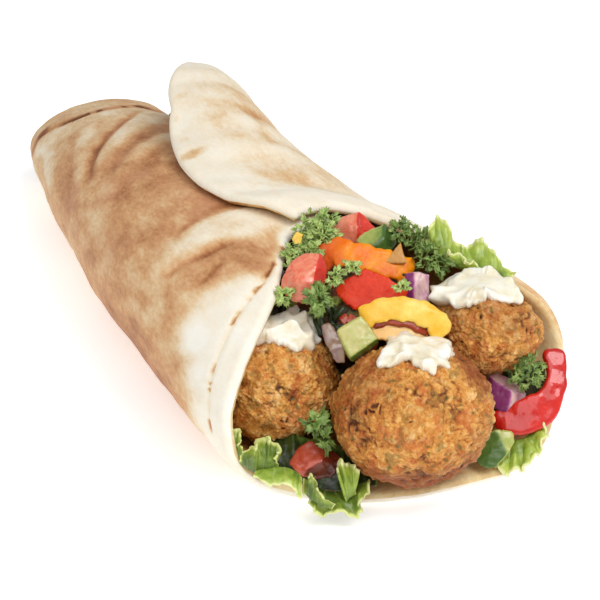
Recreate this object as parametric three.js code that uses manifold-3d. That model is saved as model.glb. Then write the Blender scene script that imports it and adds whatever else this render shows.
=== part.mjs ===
// A falafel shawarma: one round flatbread rolled into a tapering roll, its flap folded over the top,
// with falafel balls, salad and sauce at the open mouth. Millimetres, +Z up.
// The roll lies along Y, its mouth towards -Y and its narrow tail towards +Y.
import * as THREE from "three";
import { mergeVertices } from "three/addons/utils/BufferGeometryUtils.js";
import Module from "manifold-3d";

const { smoothstep, lerp, degToRad, clamp } = THREE.MathUtils;
const wasm = await Module();
wasm.setup();

// ---------------------------------------------------------------- driving dimensions
const ROLL_LENGTH = 212; // from the lower lip of the mouth to the rim of the tail
const MOUTH_WIDTH = 99;
const TAIL_WIDTH = 46;
const BREAD = 4; // thickness of the flatbread
const LAYER_GAP = 0.8; // air between the flap and the layer under it
const PIECE_GAP = 0.3; // air between touching pieces
const FINE = 0.2; // how finely a piece is cut to its neighbours
const FALAFEL = 38; // diameter of the largest ball
const DICE = 11; // edge of a cube of chopped salad
const STRIP = 6.5; // width of a strip of pepper
const LEAF = 1.2; // thickness of a lettuce leaf
const FRILL = 2; // how far its edge waves to each side
const SAUCE = 3.2; // depth of a spoonful of sauce
const FILLING_INSET = 8; // how far the filling stays inside the tail
const WELD = 1e-4; // points closer than this are one

// ---------------------------------------------------------------- solids
// A closed geometry with its shared vertices merged.
function welded(geometry) {
  const bare = geometry.index ? geometry.toNonIndexed() : geometry.clone();
  const positions = new THREE.BufferGeometry();
  positions.setAttribute("position", bare.getAttribute("position"));
  return mergeVertices(positions, WELD);
}

function solidOf(geometry) {
  const closed = welded(geometry);
  return new wasm.Manifold(
    new wasm.Mesh({
      numProp: 3,
      vertProperties: closed.attributes.position.array,
      triVerts: new Uint32Array(closed.index.array),
    }),
  );
}

function geometryOf(solid) {
  const mesh = solid.getMesh();
  const positions = new Float32Array(mesh.numVert * 3);
  for (let i = 0; i < mesh.numVert; i++)
    positions.set(mesh.vertProperties.subarray(i * mesh.numProp, i * mesh.numProp + 3), i * 3);
  const geometry = new THREE.BufferGeometry();
  geometry.setAttribute("position", new THREE.BufferAttribute(positions, 3));
  geometry.setIndex(new THREE.BufferAttribute(new Uint32Array(mesh.triVerts), 1));
  return geometry;
}

// The same shape with its skin moved outwards, so that what it cuts keeps clear of it.
function grown(geometry, by) {
  const skin = welded(geometry);
  skin.computeVertexNormals();
  const place = skin.attributes.position;
  const normal = skin.attributes.normal;
  for (let i = 0; i < place.count; i++)
    place.setXYZ(
      i,
      place.getX(i) + normal.getX(i) * by,
      place.getY(i) + normal.getY(i) * by,
      place.getZ(i) + normal.getZ(i) * by,
    );
  return skin;
}

// A closed shell over a grid: face(i, j, side) gives the point of row i and column j on side 0 or 1.
function shell(rows, columns, face) {
  const positions = [];
  for (const side of [0, 1])
    for (let i = 0; i <= rows; i++)
      for (let j = 0; j <= columns; j++) positions.push(...face(i, j, side).toArray());
  const at = (i, j, side) => side * (rows + 1) * (columns + 1) + i * (columns + 1) + j;
  const faces = [];
  const quad = (a, b, c, d) => faces.push(a, c, b, a, d, c);
  for (let i = 0; i < rows; i++)
    for (let j = 0; j < columns; j++) {
      quad(at(i, j, 0), at(i + 1, j, 0), at(i + 1, j + 1, 0), at(i, j + 1, 0));
      quad(at(i, j, 1), at(i, j + 1, 1), at(i + 1, j + 1, 1), at(i + 1, j, 1));
    }
  for (let i = 0; i < rows; i++) {
    quad(at(i, 0, 0), at(i, 0, 1), at(i + 1, 0, 1), at(i + 1, 0, 0));
    quad(at(i, columns, 0), at(i + 1, columns, 0), at(i + 1, columns, 1), at(i, columns, 1));
  }
  for (let j = 0; j < columns; j++) {
    quad(at(0, j, 0), at(0, j + 1, 0), at(0, j + 1, 1), at(0, j, 1));
    quad(at(rows, j, 0), at(rows, j, 1), at(rows, j + 1, 1), at(rows, j + 1, 0));
  }
  const geometry = new THREE.BufferGeometry();
  geometry.setAttribute("position", new THREE.Float32BufferAttribute(positions, 3));
  geometry.setIndex(faces);
  return geometry;
}

// A repeatable unevenness of about -1 to 1 that changes smoothly with place.
function lumps(p, seed) {
  const a = Math.sin(1.9 * p.x + 2.7 * p.y + 1.3 * seed);
  const b = Math.sin(2.3 * p.y - 1.7 * p.z + 2.1 * seed);
  const c = Math.sin(2.9 * p.z + 1.5 * p.x - 0.7 * seed);
  return (a + b + c) / 2.2;
}

// The same geometry with every point moved by change(point).
function reshaped(geometry, change) {
  const shape = welded(geometry);
  const place = shape.attributes.position;
  const p = new THREE.Vector3();
  for (let i = 0; i < place.count; i++) {
    change(p.fromBufferAttribute(place, i));
    place.setXYZ(i, p.x, p.y, p.z);
  }
  return shape;
}

// Turned by degrees about X, then Y, then Z, and set at a place.
function placed(geometry, at, turn) {
  const euler = new THREE.Euler(...turn.map(degToRad), "ZYX");
  return geometry.clone().applyMatrix4(
    new THREE.Matrix4().makeRotationFromEuler(euler).setPosition(...at),
  );
}

// ---------------------------------------------------------------- the roll
// Evenly spaced stations from the mouth to the tail: centre across, half width, height.
const STATIONS = new THREE.CatmullRomCurve3(
  [
    new THREE.Vector3(1, MOUTH_WIDTH / 2, 48),
    new THREE.Vector3(-6.8, 39.3, 48),
    new THREE.Vector3(-9.5, 33, 46),
    new THREE.Vector3(-7, 27.5, 38),
    new THREE.Vector3(0, TAIL_WIDTH / 2, 25),
  ],
  false,
  "catmullrom",
  0.5,
);

// Where the mouth's rim is along Y, every 30 degrees round the roll from its right side.
const MOUTH_RIM = [15, 25, 57, 57, 33, 19, 13, 12, 8, -1, -1, 8];

// A closed Catmull-Rom curve through evenly spaced values.
function around(values, degrees) {
  const place = (((degrees % 360) + 360) % 360) / (360 / values.length);
  const i = Math.floor(place);
  const t = place - i;
  const pick = (k) => values[(i + k + values.length) % values.length];
  const [a, b, c, d] = [pick(-1), pick(0), pick(1), pick(2)];
  return b + 0.5 * t * (c - a + t * (2 * a - 5 * b + 4 * c - d + t * (3 * (b - c) + d - a)));
}

// A point on the roll's outer skin, moved outwards by off. The underside is pressed flat.
const UNDERSIDE = 0.82; // below 1 squares the lower half
const PRESS = 1.05; // how far the underside would sag through the table
function skin(degrees, y, off) {
  const station = STATIONS.getPoint(clamp(y / ROLL_LENGTH, 0, 1));
  const c = Math.cos(degToRad(degrees));
  const s = Math.sin(degToRad(degrees));
  const half = station.z / 2;
  if (s >= 0)
    return new THREE.Vector3(station.x + (station.y + off) * c, y, half + (half + off) * s);
  const across = Math.sign(c) * Math.abs(c) ** UNDERSIDE;
  const down = PRESS * Math.abs(s) ** UNDERSIDE;
  return new THREE.Vector3(
    station.x + (station.y + off) * across,
    y,
    Math.max(-off, half - (half + off) * down),
  );
}

// The sheet winds from its hidden inner edge round the underside to the flap's free edge.
const WIND_START = [70, 34]; // where the inner edge is round the roll, at the mouth and at the tail
const FLAP_FRONT = 449; // where the flap's free edge meets the mouth
const FLAP_LOBE = 14; // how much further the lobe reaches round
const FLAP_ROUNDING = 46; // how far the lobe's far corner is rounded away
const ARCH = 15; // how high the flap stands over the roll
const ARCH_MIDDLE = 152; // where along the roll it stands highest
const ARCH_REACH = 38; // how far the arch reaches to each side along the roll
const TAIL_CUT = 34; // how much shorter the sheet is at the flap than under it

function flapEdge(v) {
  const lobe = FLAP_LOBE * Math.sin(Math.PI * clamp(v / 0.62, 0, 1));
  return FLAP_FRONT + lobe - FLAP_ROUNDING * clamp((v - 0.55) / 0.45, 0, 1) ** 2;
}

function tailRim(degrees) {
  return ROLL_LENGTH - TAIL_CUT * smoothstep(degrees, 345, 430) ** 1.5;
}

function mouthRim(degrees) {
  return around(MOUTH_RIM, Math.min(degrees, FLAP_FRONT));
}

// How far the sheet stands off the roll: the flap climbs over the inner layer and arches towards the tail.
function standOff(degrees, y) {
  const climb = (BREAD + LAYER_GAP) * smoothstep(degrees, 315, 392);
  const along = Math.exp(-(((y - ARCH_MIDDLE) / ARCH_REACH) ** 2));
  const rise = smoothstep(degrees, 368, 425);
  const lands = smoothstep(degrees, 424, 460) * (1 - 0.75 * smoothstep(y, 112, 150));
  return climb + ARCH * along * rise * (1 - lands);
}

function sheet(u, v, depth) {
  const start = lerp(...WIND_START, smoothstep(v, 0.2, 0.9));
  const degrees = lerp(start, flapEdge(v), u);
  const y = lerp(mouthRim(degrees), tailRim(degrees), v);
  return skin(degrees, y, standOff(degrees, y) - depth);
}

function flatbread() {
  const turns = 50;
  const lengths = 12;
  return shell(turns, lengths, (i, j, side) => sheet(i / turns, j / lengths, side * BREAD));
}

// ---------------------------------------------------------------- kinds of food
// A fried ball, a little flattened and uneven.
function falafel(at, across, tall, seed) {
  return reshaped(new THREE.IcosahedronGeometry(1, 3), (p) => {
    const swell = 1 + 0.025 * lumps(p.clone().multiplyScalar(1.6), seed);
    p.multiply(new THREE.Vector3(across / 2, across / 2, tall / 2)).multiplyScalar(swell);
    p.add(new THREE.Vector3(...at));
  });
}

// A chopped piece: a box with soft corners, narrower by taper towards its +Z side and bent by bow.
function chunk({ at, size, turn = [0, 0, 0], taper = 0, bow = 0, softness = 6, seed = 1 }) {
  const box = reshaped(new THREE.BoxGeometry(2, 2, 2, 3, 3, 3), (p) => {
    const round = [p.x, p.y, p.z].reduce((sum, k) => sum + Math.abs(k) ** softness, 0);
    p.multiplyScalar(round ** (-1 / softness) * (1 + 0.03 * lumps(p, seed)));
    p.x *= 1 - (taper * (p.z + 1)) / 2;
    p.z += bow * (1 - p.x * p.x);
    p.multiply(new THREE.Vector3(...size).divideScalar(2));
  });
  return placed(box, at, turn);
}

// A strip swept through points, its flat side facing up; width(t) and thick(t) run from end to end.
function strip(points, width, thick, up) {
  const path = new THREE.CatmullRomCurve3(points.map((p) => new THREE.Vector3(...p)));
  const steps = 14;
  const sides = 8;
  const flats = 2 * Math.cos(Math.PI / sides); // between opposite flats of a section of radius 1
  const section = (t) => {
    const centre = path.getPointAt(t);
    const out = new THREE.Vector3(...up);
    const across = path.getTangentAt(t).cross(out).normalize();
    const end = Math.sqrt(1 - Math.abs(2 * t - 1) ** 6) * 0.65 + 0.35;
    return Array.from({ length: sides }, (_, k) => {
      const angle = (2 * Math.PI * (k + 0.5)) / sides;
      return centre
        .clone()
        .addScaledVector(across, (Math.cos(angle) * width(t) * end) / flats)
        .addScaledVector(out, (Math.sin(angle) * thick(t) * end) / flats);
    });
  };
  return loft(Array.from({ length: steps + 1 }, (_, i) => section(i / steps)));
}

// A closed skin over rings of points, with a point in the middle of each end.
function loft(rings) {
  const sides = rings[0].length;
  const middle = (ring) =>
    ring.reduce((sum, p) => sum.add(p), new THREE.Vector3()).divideScalar(sides);
  const points = [...rings.flat(), middle(rings[0]), middle(rings.at(-1))];
  const faces = [];
  for (let k = 0; k < sides; k++) {
    const next = (k + 1) % sides;
    for (let i = 0; i < rings.length - 1; i++) {
      const [a, b] = [i * sides + k, i * sides + next];
      faces.push(a, b + sides, b, a, a + sides, b + sides);
    }
    const last = (rings.length - 1) * sides;
    faces.push(points.length - 2, k, next, points.length - 1, last + next, last + k);
  }
  const geometry = new THREE.BufferGeometry().setFromPoints(points);
  geometry.setIndex(faces);
  return geometry;
}

// Sauce spooned over a ball: a lobed patch round a direction, reach degrees wide.
function sauce(ball, towards, reach, seed) {
  const axis = new THREE.Vector3(...towards).normalize();
  const side = new THREE.Vector3(0, 0, 1).cross(axis).normalize();
  const other = axis.clone().cross(side);
  const rings = [];
  const outwards = [0.15, 0.55, 0.85, 1, 0.97, 0.6, 0.15];
  const risen = [1, 0.95, 0.75, 0.3, 0.02, -0.12, -0.12];
  for (const [i, out] of outwards.entries())
    rings.push(
      Array.from({ length: 16 }, (_, k) => {
        const angle = (2 * Math.PI * k) / 16;
        const lobe = 1 + 0.16 * Math.sin(3 * angle + seed) + 0.12 * Math.sin(5 * angle + 2 * seed);
        const lean = degToRad(reach * out * lobe);
        const p = axis
          .clone()
          .multiplyScalar(Math.cos(lean))
          .addScaledVector(side, Math.sin(lean) * Math.cos(angle))
          .addScaledVector(other, Math.sin(lean) * Math.sin(angle));
        const fall = 1 + 0.2 * lumps(p.clone().multiplyScalar(4), seed);
        const skin = new THREE.Vector3(ball.across / 2, ball.across / 2, ball.tall / 2);
        const lift = SAUCE * risen[i] * (i < 4 ? fall : 1);
        return p.clone().multiply(skin).addScaledVector(p, lift).add(new THREE.Vector3(...ball.at));
      }),
    );
  return loft(rings);
}

// A frilled leaf: root is its line of growth and out is where it reaches, arching by rise on the way.
function leaf({ root, out, rise, waves }) {
  const columns = 16;
  const rows = 3;
  const base = new THREE.CatmullRomCurve3(root.map((p) => new THREE.Vector3(...p)));
  const reach = new THREE.Vector3(...out);
  const face = base.getPoint(1).sub(base.getPoint(0)).cross(reach).normalize();
  const at = (s, t) => {
    const turn = 2 * Math.PI * waves * s;
    const rounding = 1 - 0.4 * Math.abs(2 * s - 1) ** 3;
    return base
      .getPointAt(s)
      .addScaledVector(reach, t * rounding * (1 + 0.12 * Math.cos(0.5 * turn + 1)))
      .addScaledVector(face, FRILL * t ** 1.5 * Math.sin(turn))
      .add(new THREE.Vector3(0, 0, rise * Math.sin(Math.PI * t)));
  };
  const normal = (s, t) => {
    const step = 0.01;
    const across = at(Math.min(s + step, 1), t).sub(at(Math.max(s - step, 0), t));
    return across.cross(at(s, Math.min(t + step, 1)).sub(at(s, Math.max(t - step, 0)))).normalize();
  };
  return shell(columns, rows, (i, j, side) => {
    const [s, t] = [i / columns, j / rows];
    return at(s, t).addScaledVector(normal(s, t), LEAF * (side - 0.5));
  });
}

const FILLING_FRONT = 34; // where the core's front starts, on the bread
const FILLING_SLOPE = 0.5; // how much its front leans back with height
// The heaps that carry the toppings: behind and between the balls, at the lower right and lower left.
const HEAPS = [
  { at: [3, 38, 32.5], size: [42, 46, 21] },
  { at: [29, 18, 11], size: [28, 22, 20] },
  { at: [-25, 19, 7], size: [32, 18, 12] },
];

// The salad packed inside the roll: a core as far as the tail, heaped up round the balls at its front.
function filling() {
  const rings = [];
  const sides = 16;
  for (const [i, fill] of [0.45, 0.85, 1, 1, 1, 1, 1, 1, 0.8].entries()) {
    const t = clamp((i - 1) / 6, 0, 1);
    rings.push(
      Array.from({ length: sides }, (_, k) => {
        const degrees = (360 * k) / sides;
        const back = lerp(FILLING_FRONT, ROLL_LENGTH - FILLING_INSET, t);
        const lean = FILLING_SLOPE * (1 - t) * skin(degrees, back, -BREAD).z;
        const inner = skin(degrees, back + lean, -BREAD - 3 * PIECE_GAP);
        const centre = skin(90, back + lean, 0).multiply(new THREE.Vector3(1, 1, 0.5));
        return centre.lerp(inner, fill);
      }),
    );
  }
  return HEAPS.reduce((whole, heap, i) => whole.add(solidOf(mound(heap, i))), solidOf(loft(rings)));
}

function mound({ at, size }, seed) {
  return reshaped(new THREE.IcosahedronGeometry(1, 2), (p) => {
    p.multiplyScalar(1 + 0.04 * lumps(p.clone().multiplyScalar(2), seed));
    p.multiply(new THREE.Vector3(...size).divideScalar(2)).add(new THREE.Vector3(...at));
  });
}

// ---------------------------------------------------------------- the filled roll
const group = new THREE.Group();
const earlier = []; // what later pieces keep clear of

// The largest of the bodies a solid has come apart into.
function largest(solid) {
  return solid.decompose().sort((a, b) => b.volume() - a.volume())[0];
}

// Adds a piece as it lies among the earlier ones: it gives way to them.
function add(name, geometry, { colour, roughness }) {
  let solid = solidOf(geometry);
  for (const other of earlier) solid = solid.subtract(solidOf(grown(other, PIECE_GAP + FINE)));
  solid = largest(solid).simplify(FINE);
  for (const other of earlier) solid = solid.subtract(solidOf(grown(other, PIECE_GAP / 2)));
  const shape = geometryOf(largest(solid));
  earlier.push(shape);
  const material = new THREE.MeshStandardMaterial({ color: colour, roughness, metalness: 0 });
  const mesh = new THREE.Mesh(shape, material);
  mesh.name = name;
  group.add(mesh);
}

const TOASTED = { colour: "#d8a878", roughness: 0.75 };
const FRIED = { colour: "#a5682f", roughness: 0.9 };
const SALAD = { colour: "#8a9a4a", roughness: 0.8 };
const CREAM = { colour: "#efe6d2", roughness: 0.45 };
const TOMATO = { colour: "#d8413a", roughness: 0.35 };
const CUCUMBER = { colour: "#c3d68a", roughness: 0.4 };
const ONION = { colour: "#c98fb4", roughness: 0.35 };
const ORANGE_PEPPER = { colour: "#f07a22", roughness: 0.3 };
const SCARLET_PEPPER = { colour: "#e2452a", roughness: 0.3 };
const YELLOW_PEPPER = { colour: "#f2c02e", roughness: 0.3 };
const RED_PEPPER = { colour: "#d42a22", roughness: 0.25 };
const LETTUCE = { colour: "#86b43c", roughness: 0.6 };

add("flatbread", flatbread(), TOASTED);

const BALLS = {
  centre: { at: [-2.7, 5, 21.6], across: FALAFEL, tall: 34 },
  left: { at: [-24.4, 33.7, 21], across: FALAFEL - 6, tall: 30 },
  right: { at: [26.2, 18.7, 32.4], across: FALAFEL - 9, tall: 25 },
};
for (const [place, ball] of Object.entries(BALLS))
  add(`falafel_${place}`, falafel(ball.at, ball.across, ball.tall, place.length), FRIED);

add("salad_filling", geometryOf(filling()), SALAD);

add("sauce_centre", sauce(BALLS.centre, [1, 0.5, 16.5], 31, 1), CREAM);
add("sauce_left", sauce(BALLS.left, [-0.5, 0.5, 16], 32, 2), CREAM);
add("sauce_right", sauce(BALLS.right, [-4, -0.5, 13], 37, 4), CREAM);

// Chopped vegetables: where each lies, its size, and its turn about X, Y and Z.
const CHOPPED = [
  ["tomato_top", TOMATO, { at: [8, 53, 46], size: [12, 8, 8.5], turn: [10, 15, -30], taper: 0.2 }],
  ["tomato_left", TOMATO, { at: [-15.2, 35.5, 45.6], size: [10, 9, 10.5], turn: [0, -20, -27] }],
  ["tomato_low", TOMATO, { at: [-24.5, 12, 12], size: [11, 8, 8], turn: [0, 25, -27] }],
  ["cucumber_dice", CUCUMBER, { at: [-11, 19, 37], size: [DICE - 2, 6.5, 8], turn: [20, 20, -50] }],
  ["cucumber_top", CUCUMBER, { at: [10.5, 45, 45], size: [DICE, 8, 8], turn: [0, 10, -30] }],
  ["cucumber_low", CUCUMBER, { at: [16, 0, 8], size: [DICE - 1, 5, DICE], turn: [20, 0, 20] }],
  ["onion_left", ONION, { at: [-15, 20, 37], size: [3.5, 7, 10], turn: [10, -20, -50] }],
  ["onion_top", ONION, { at: [9.7, 25, 42], size: [5.5, 6, 9.5], turn: [0, -15, -27] }],
  ["onion_right", ONION, { at: [26, 8, 16.7], size: [9, 5, DICE], turn: [0, 20, -27] }],
];
for (const [name, finish, piece] of CHOPPED) add(name, chunk(piece), finish);

// Strips of pepper, each swept from end to end.
const even = (size) => () => size;
const wavy = (size) => (t) => size * (1 + 0.12 * Math.sin(26 * t));
const orange = [[-6.4, 46, 45], [0.6, 41, 45.6], [7.6, 37, 44.2], [12.6, 33, 42.6]];
const yellow = [[-9, 22, 40], [-3, 20, 42.5], [5, 15, 42.5], [9, 10, 38.5]];
const red = [[34, 12, 28], [38, 7, 22], [36, 3, 16], [30, 2, 12.5], [22, 3, 12]];
add("pepper_orange", strip(orange, wavy(STRIP), even(3), [-0.2, -0.6, 0.8]), ORANGE_PEPPER);
add("pepper_flat", chunk({ at: [-2, 28, 44], size: [18, 9, 4], turn: [25, 8, -36] }), SCARLET_PEPPER);
add("pepper_yellow", strip(yellow, wavy(STRIP), even(3.4), [-0.3, -0.6, 0.7]), YELLOW_PEPPER);
add("pepper_red", strip(red, even(STRIP + 0.7), even(3.5), [-0.4, -0.9, 0.1]), RED_PEPPER);

// Leaves of lettuce that stand out of the mouth: place, line of growth, reach, rise and waves.
const LEAVES = [
  ["left", [[-44, 19, 22], [-40, 15, 14], [-31, 11, 7.8]], [1, -11, 1], 2, 3],
  ["front", [[-32, 11, 7.5], [-22, 10, 6.8], [-13, 9, 6.8]], [-1, -13, -1.5], 3, 2.5],
  ["right", [[14, 5, 6], [24, 7, 7.2], [34, 11, 12.5]], [0, -13.5, -1], 1, 3],
  ["top", [[19, 37, 42.5], [27, 29, 41], [34, 21, 36]], [-1, -1, 11], 0, 3],
];
for (const [place, root, out, rise, waves] of LEAVES)
  add(`lettuce_${place}`, leaf({ root, out, rise, waves }), LETTUCE);

// The origin is under the middle of the whole, on the table.
const extent = new THREE.Box3().setFromObject(group);
const middle = extent.getCenter(new THREE.Vector3());
group.position.set(-middle.x, -middle.y, -extent.min.z);

export default group;
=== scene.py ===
# A falafel shawarma: a toasted flatbread roll with fried balls, chopped salad and sauce at its mouth.
# Metres, +Z up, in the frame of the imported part. The roll lies along Y with its mouth towards -Y.
import math

import bpy
import numpy as np
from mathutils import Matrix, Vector


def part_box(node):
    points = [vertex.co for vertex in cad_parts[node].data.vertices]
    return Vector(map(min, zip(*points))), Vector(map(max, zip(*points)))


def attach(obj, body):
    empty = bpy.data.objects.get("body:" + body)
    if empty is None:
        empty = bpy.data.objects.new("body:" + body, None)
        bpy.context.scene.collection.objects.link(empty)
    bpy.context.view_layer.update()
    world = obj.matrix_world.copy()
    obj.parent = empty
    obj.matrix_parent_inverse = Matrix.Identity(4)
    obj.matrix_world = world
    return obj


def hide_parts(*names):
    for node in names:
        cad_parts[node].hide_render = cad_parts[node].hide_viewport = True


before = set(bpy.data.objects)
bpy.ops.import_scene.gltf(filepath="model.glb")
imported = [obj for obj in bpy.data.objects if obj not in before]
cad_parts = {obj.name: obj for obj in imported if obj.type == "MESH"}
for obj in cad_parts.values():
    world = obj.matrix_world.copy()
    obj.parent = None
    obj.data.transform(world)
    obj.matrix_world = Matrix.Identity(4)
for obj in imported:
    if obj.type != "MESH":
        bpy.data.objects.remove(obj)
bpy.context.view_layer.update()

MM = 0.001


# ---- camera and light
VIEW_TURN, VIEW_RISE = -27, 28.2  # degrees round the object from its front, and above the horizon
VIEW_DISTANCE = 0.521
VIEW_TARGET = Vector((7.66, -15.69, 11.9)) * MM
LENS = 115.2
LIGHTS = {"key": (22, 56, 0.9, 0.5, 3.6), "fill": (-40, 50, 1.0, 0.9, 3.6)}  # turn, rise, away, size, watts
SKY = 0.41
FLOOR_SIZE, FLOOR_DROP = 6, 0.0002


def towards(turn, rise):
    """The direction from the object towards something seen at this turn and rise, in degrees."""
    turn, rise = math.radians(turn), math.radians(rise)
    return Vector((math.sin(turn) * math.cos(rise), -math.cos(turn) * math.cos(rise), math.sin(rise)))


def aimed(name, data, turn, rise, distance, target=Vector()):
    """A camera or a light that looks at its target."""
    thing = bpy.data.objects.new(name, data)
    back = towards(turn, rise)
    thing.location = target + back * distance
    thing.rotation_euler = (-back).to_track_quat("-Z", "Y").to_euler()
    bpy.context.scene.collection.objects.link(thing)
    return thing


def add_camera():
    data = bpy.data.cameras.new("camera")
    data.lens = LENS
    data.clip_start = 0.01
    data.clip_end = 20
    bpy.context.scene.camera = aimed("camera", data, VIEW_TURN, VIEW_RISE, VIEW_DISTANCE, VIEW_TARGET)


def add_studio():
    for name, (turn, rise, distance, size, watts) in LIGHTS.items():
        data = bpy.data.lights.new(name, "AREA")
        data.shape = "DISK"
        data.size = size
        data.energy = watts
        aimed(name, data, turn, rise, distance)
    world = bpy.data.worlds.new("studio")
    bpy.context.scene.world = world
    world.use_nodes = True
    background = world.node_tree.nodes["Background"]
    background.inputs["Color"].default_value = (1, 1, 1, 1)
    background.inputs["Strength"].default_value = SKY
    bpy.context.scene.view_settings.view_transform = "Standard"
    floor = started(bpy.ops.mesh.primitive_plane_add, "floor", size=FLOOR_SIZE, location=(0, 0, -FLOOR_DROP))
    floor_finish()
    floor.data.materials.append(FINISHES["studio_floor"])


# ---- unevenness and curves
def smooth(x, low, high):
    """0 below low and 1 above high, with a soft step between."""
    t = np.clip((x - low) / (high - low), 0, 1)
    return t * t * (3 - 2 * t)


def lerp(a, b, t):
    return a + (b - a) * t


def unit(rows):
    return rows / np.linalg.norm(rows, axis=-1)[..., None]


def mixed(cell, seed):
    """A repeatable number from 0 to 1 for each row of whole numbers."""
    x, y, z = (cell[..., k] for k in range(3))
    h = (x * 73856093) ^ (y * 19349663) ^ (z * 83492791) ^ (int(seed) * 2654435761)
    h = ((h ^ (h >> 13)) * 1274126177) & 0xFFFFFFFF
    h = (h ^ (h >> 15)) * 2246822519 & 0xFFFFFFFF
    return ((h ^ (h >> 16)) & 0xFFFF) / 65535.0


def uneven(points, size, seed=0, octaves=1):
    """Smooth unevenness of about -1 to 1, its bumps about size across."""
    total, most = 0.0, 0.0
    for octave in range(octaves):
        p = points / size * 2.0**octave + 31.7 * octave
        cell = np.floor(p).astype(np.int64)
        f = smooth(p - cell, 0, 1)
        value = 0.0
        for corner in np.ndindex(2, 2, 2):
            share = np.prod(np.where(np.array(corner) == 1, f, 1 - f), axis=-1)
            value = value + share * mixed(cell + corner, seed + octave)
        total = total + 0.5**octave * (2 * value - 1)
        most += 0.5**octave
    return total / most * 1.6


def grains(points, size, seed):
    """Each point's distance from its grain's middle and from the grain's border, and the grain's number."""
    p = points / size
    home = np.floor(p).astype(np.int64)
    nearest, second, number = np.full(len(p), 9.0), np.full(len(p), 9.0), np.zeros(len(p))
    for step in np.ndindex(3, 3, 3):
        cell = home + step - 1
        place = cell + np.stack([mixed(cell, seed + k) for k in (1, 2, 3)], axis=-1)
        far = np.linalg.norm(p - place, axis=-1)
        second = np.where(far < nearest, nearest, np.minimum(second, far))
        number = np.where(far < nearest, mixed(cell, seed + 4), number)
        nearest = np.minimum(nearest, far)
    return nearest, second - nearest, number


def bent(a, b, c, d, t):
    """A smooth curve from b to c, on its way from a to d."""
    return b + 0.5 * t * (c - a + t * (2 * a - 5 * b + 4 * c - d + t * (3 * (b - c) + d - a)))


def through(values, place):
    """A smooth curve through evenly spaced rows, at places from 0 to 1."""
    values = np.asarray(values, float)
    steps = len(values) - 1
    t = np.clip(place, 0, 1) * steps
    i = np.minimum(np.floor(t).astype(int), steps - 1)
    t = t - i
    if values.ndim > 1:
        t = t[..., None]
    ends = np.concatenate([[2 * values[0] - values[1]], values, [2 * values[-1] - values[-2]]])
    return bent(*(ends[i + k] for k in range(4)), t)


def around(values, degrees):
    """A closed smooth curve through evenly spaced values."""
    values = np.asarray(values, float)
    place = np.mod(degrees, 360) / (360 / len(values))
    i = np.floor(place).astype(int)
    return bent(*(values[(i + k) % len(values)] for k in (-1, 0, 1, 2)), place - i)


# ---- making pieces
def choose(piece):
    bpy.ops.object.select_all(action="DESELECT")
    piece.select_set(True)
    bpy.context.view_layer.objects.active = piece


def started(operator, name, **settings):
    """A new primitive, with nothing else selected."""
    bpy.ops.object.select_all(action="DESELECT")
    operator(**settings)
    piece = bpy.context.object
    piece.name = piece.data.name = name
    return piece


def grid(name, rows, columns):
    """A flat sheet of small faces, and how far its points are along both sides, from 0 to 1."""
    settings = {"size": 1, "x_subdivisions": rows, "y_subdivisions": columns}
    piece = started(bpy.ops.mesh.primitive_grid_add, name, **settings)
    share = rows_of(piece) + 0.5
    return piece, share[:, 0], share[:, 1]


def from_points(name, places, faces=()):
    mesh = bpy.data.meshes.new(name)
    mesh.from_pydata((places * MM).tolist(), [], faces)
    piece = bpy.data.objects.new(name, mesh)
    bpy.context.scene.collection.objects.link(piece)
    return piece


def rows_of(piece, kind="co"):
    """A mesh's points in metres, or its normals."""
    rows = np.empty(len(piece.data.vertices) * 3)
    piece.data.vertices.foreach_get(kind, rows)
    return rows.reshape(-1, 3)


def shaped(piece, places):
    """Moves a mesh's points to places in millimetres."""
    piece.data.vertices.foreach_set("co", (places * MM).ravel())
    piece.data.update()


def pushed(piece, heights):
    """Moves a mesh's points along their normals, in millimetres."""
    shaped(piece, rows_of(piece) / MM + rows_of(piece, "normal") * heights[:, None])


def mark(piece, **numbers):
    """Keeps numbers for each point, which a material reads by name."""
    for name, values in numbers.items():
        layer = piece.data.attributes.new(name, "FLOAT", "POINT")
        layer.data.foreach_set("value", np.full(len(piece.data.vertices), values, np.float32))


def modified(piece, kind, **settings):
    choose(piece)
    modifier = piece.modifiers.new(kind, kind)
    for setting, value in settings.items():
        setattr(modifier, setting, value)
    bpy.ops.object.modifier_apply(modifier=kind)


def edited(piece, *steps):
    """Runs edit-mode steps on all of a piece: each is an operator and its settings."""
    choose(piece)
    bpy.ops.object.mode_set(mode="EDIT")
    for operator, settings in steps:
        bpy.ops.mesh.select_all(action="SELECT")
        operator(**settings)
    bpy.ops.object.mode_set(mode="OBJECT")


def done(piece, finish, slot, *nodes):
    """Gives a piece its finish unless it has one, and sets it on the part in place of its solids."""
    piece.data.shade_smooth()
    if not piece.data.materials:
        piece.data.materials.append(FINISHES[finish])
    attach(piece, "root")
    if nodes:
        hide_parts(*nodes)


def middle_of(node):
    low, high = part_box(node)
    return np.array((low + high) / 2) / MM


# The mouth's own directions, as rows: across it, up it and out of it.
MOUTH_TURN, MOUTH_RISE = -27, 28
OUT = np.array(towards(MOUTH_TURN, MOUTH_RISE))
ACROSS = np.array([math.cos(math.radians(MOUTH_TURN)), math.sin(math.radians(MOUTH_TURN)), 0])
MOUTH = np.array([ACROSS, np.cross(OUT, ACROSS), OUT])


def by_mouth(node, offsets):
    """Places in millimetres, from offsets across, up and out of the mouth from a solid's middle."""
    return middle_of(node) + np.asarray(offsets, float) @ MOUTH


# ---- finishes
def colour(code):
    """A colour from its hexadecimal code, as light."""
    parts = [int(code[k : k + 2], 16) / 255 for k in (1, 3, 5)]
    return tuple(c / 12.92 if c <= 0.04045 else ((c + 0.055) / 1.055) ** 2.4 for c in parts) + (1.0,)


FINISHES = {}


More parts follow.
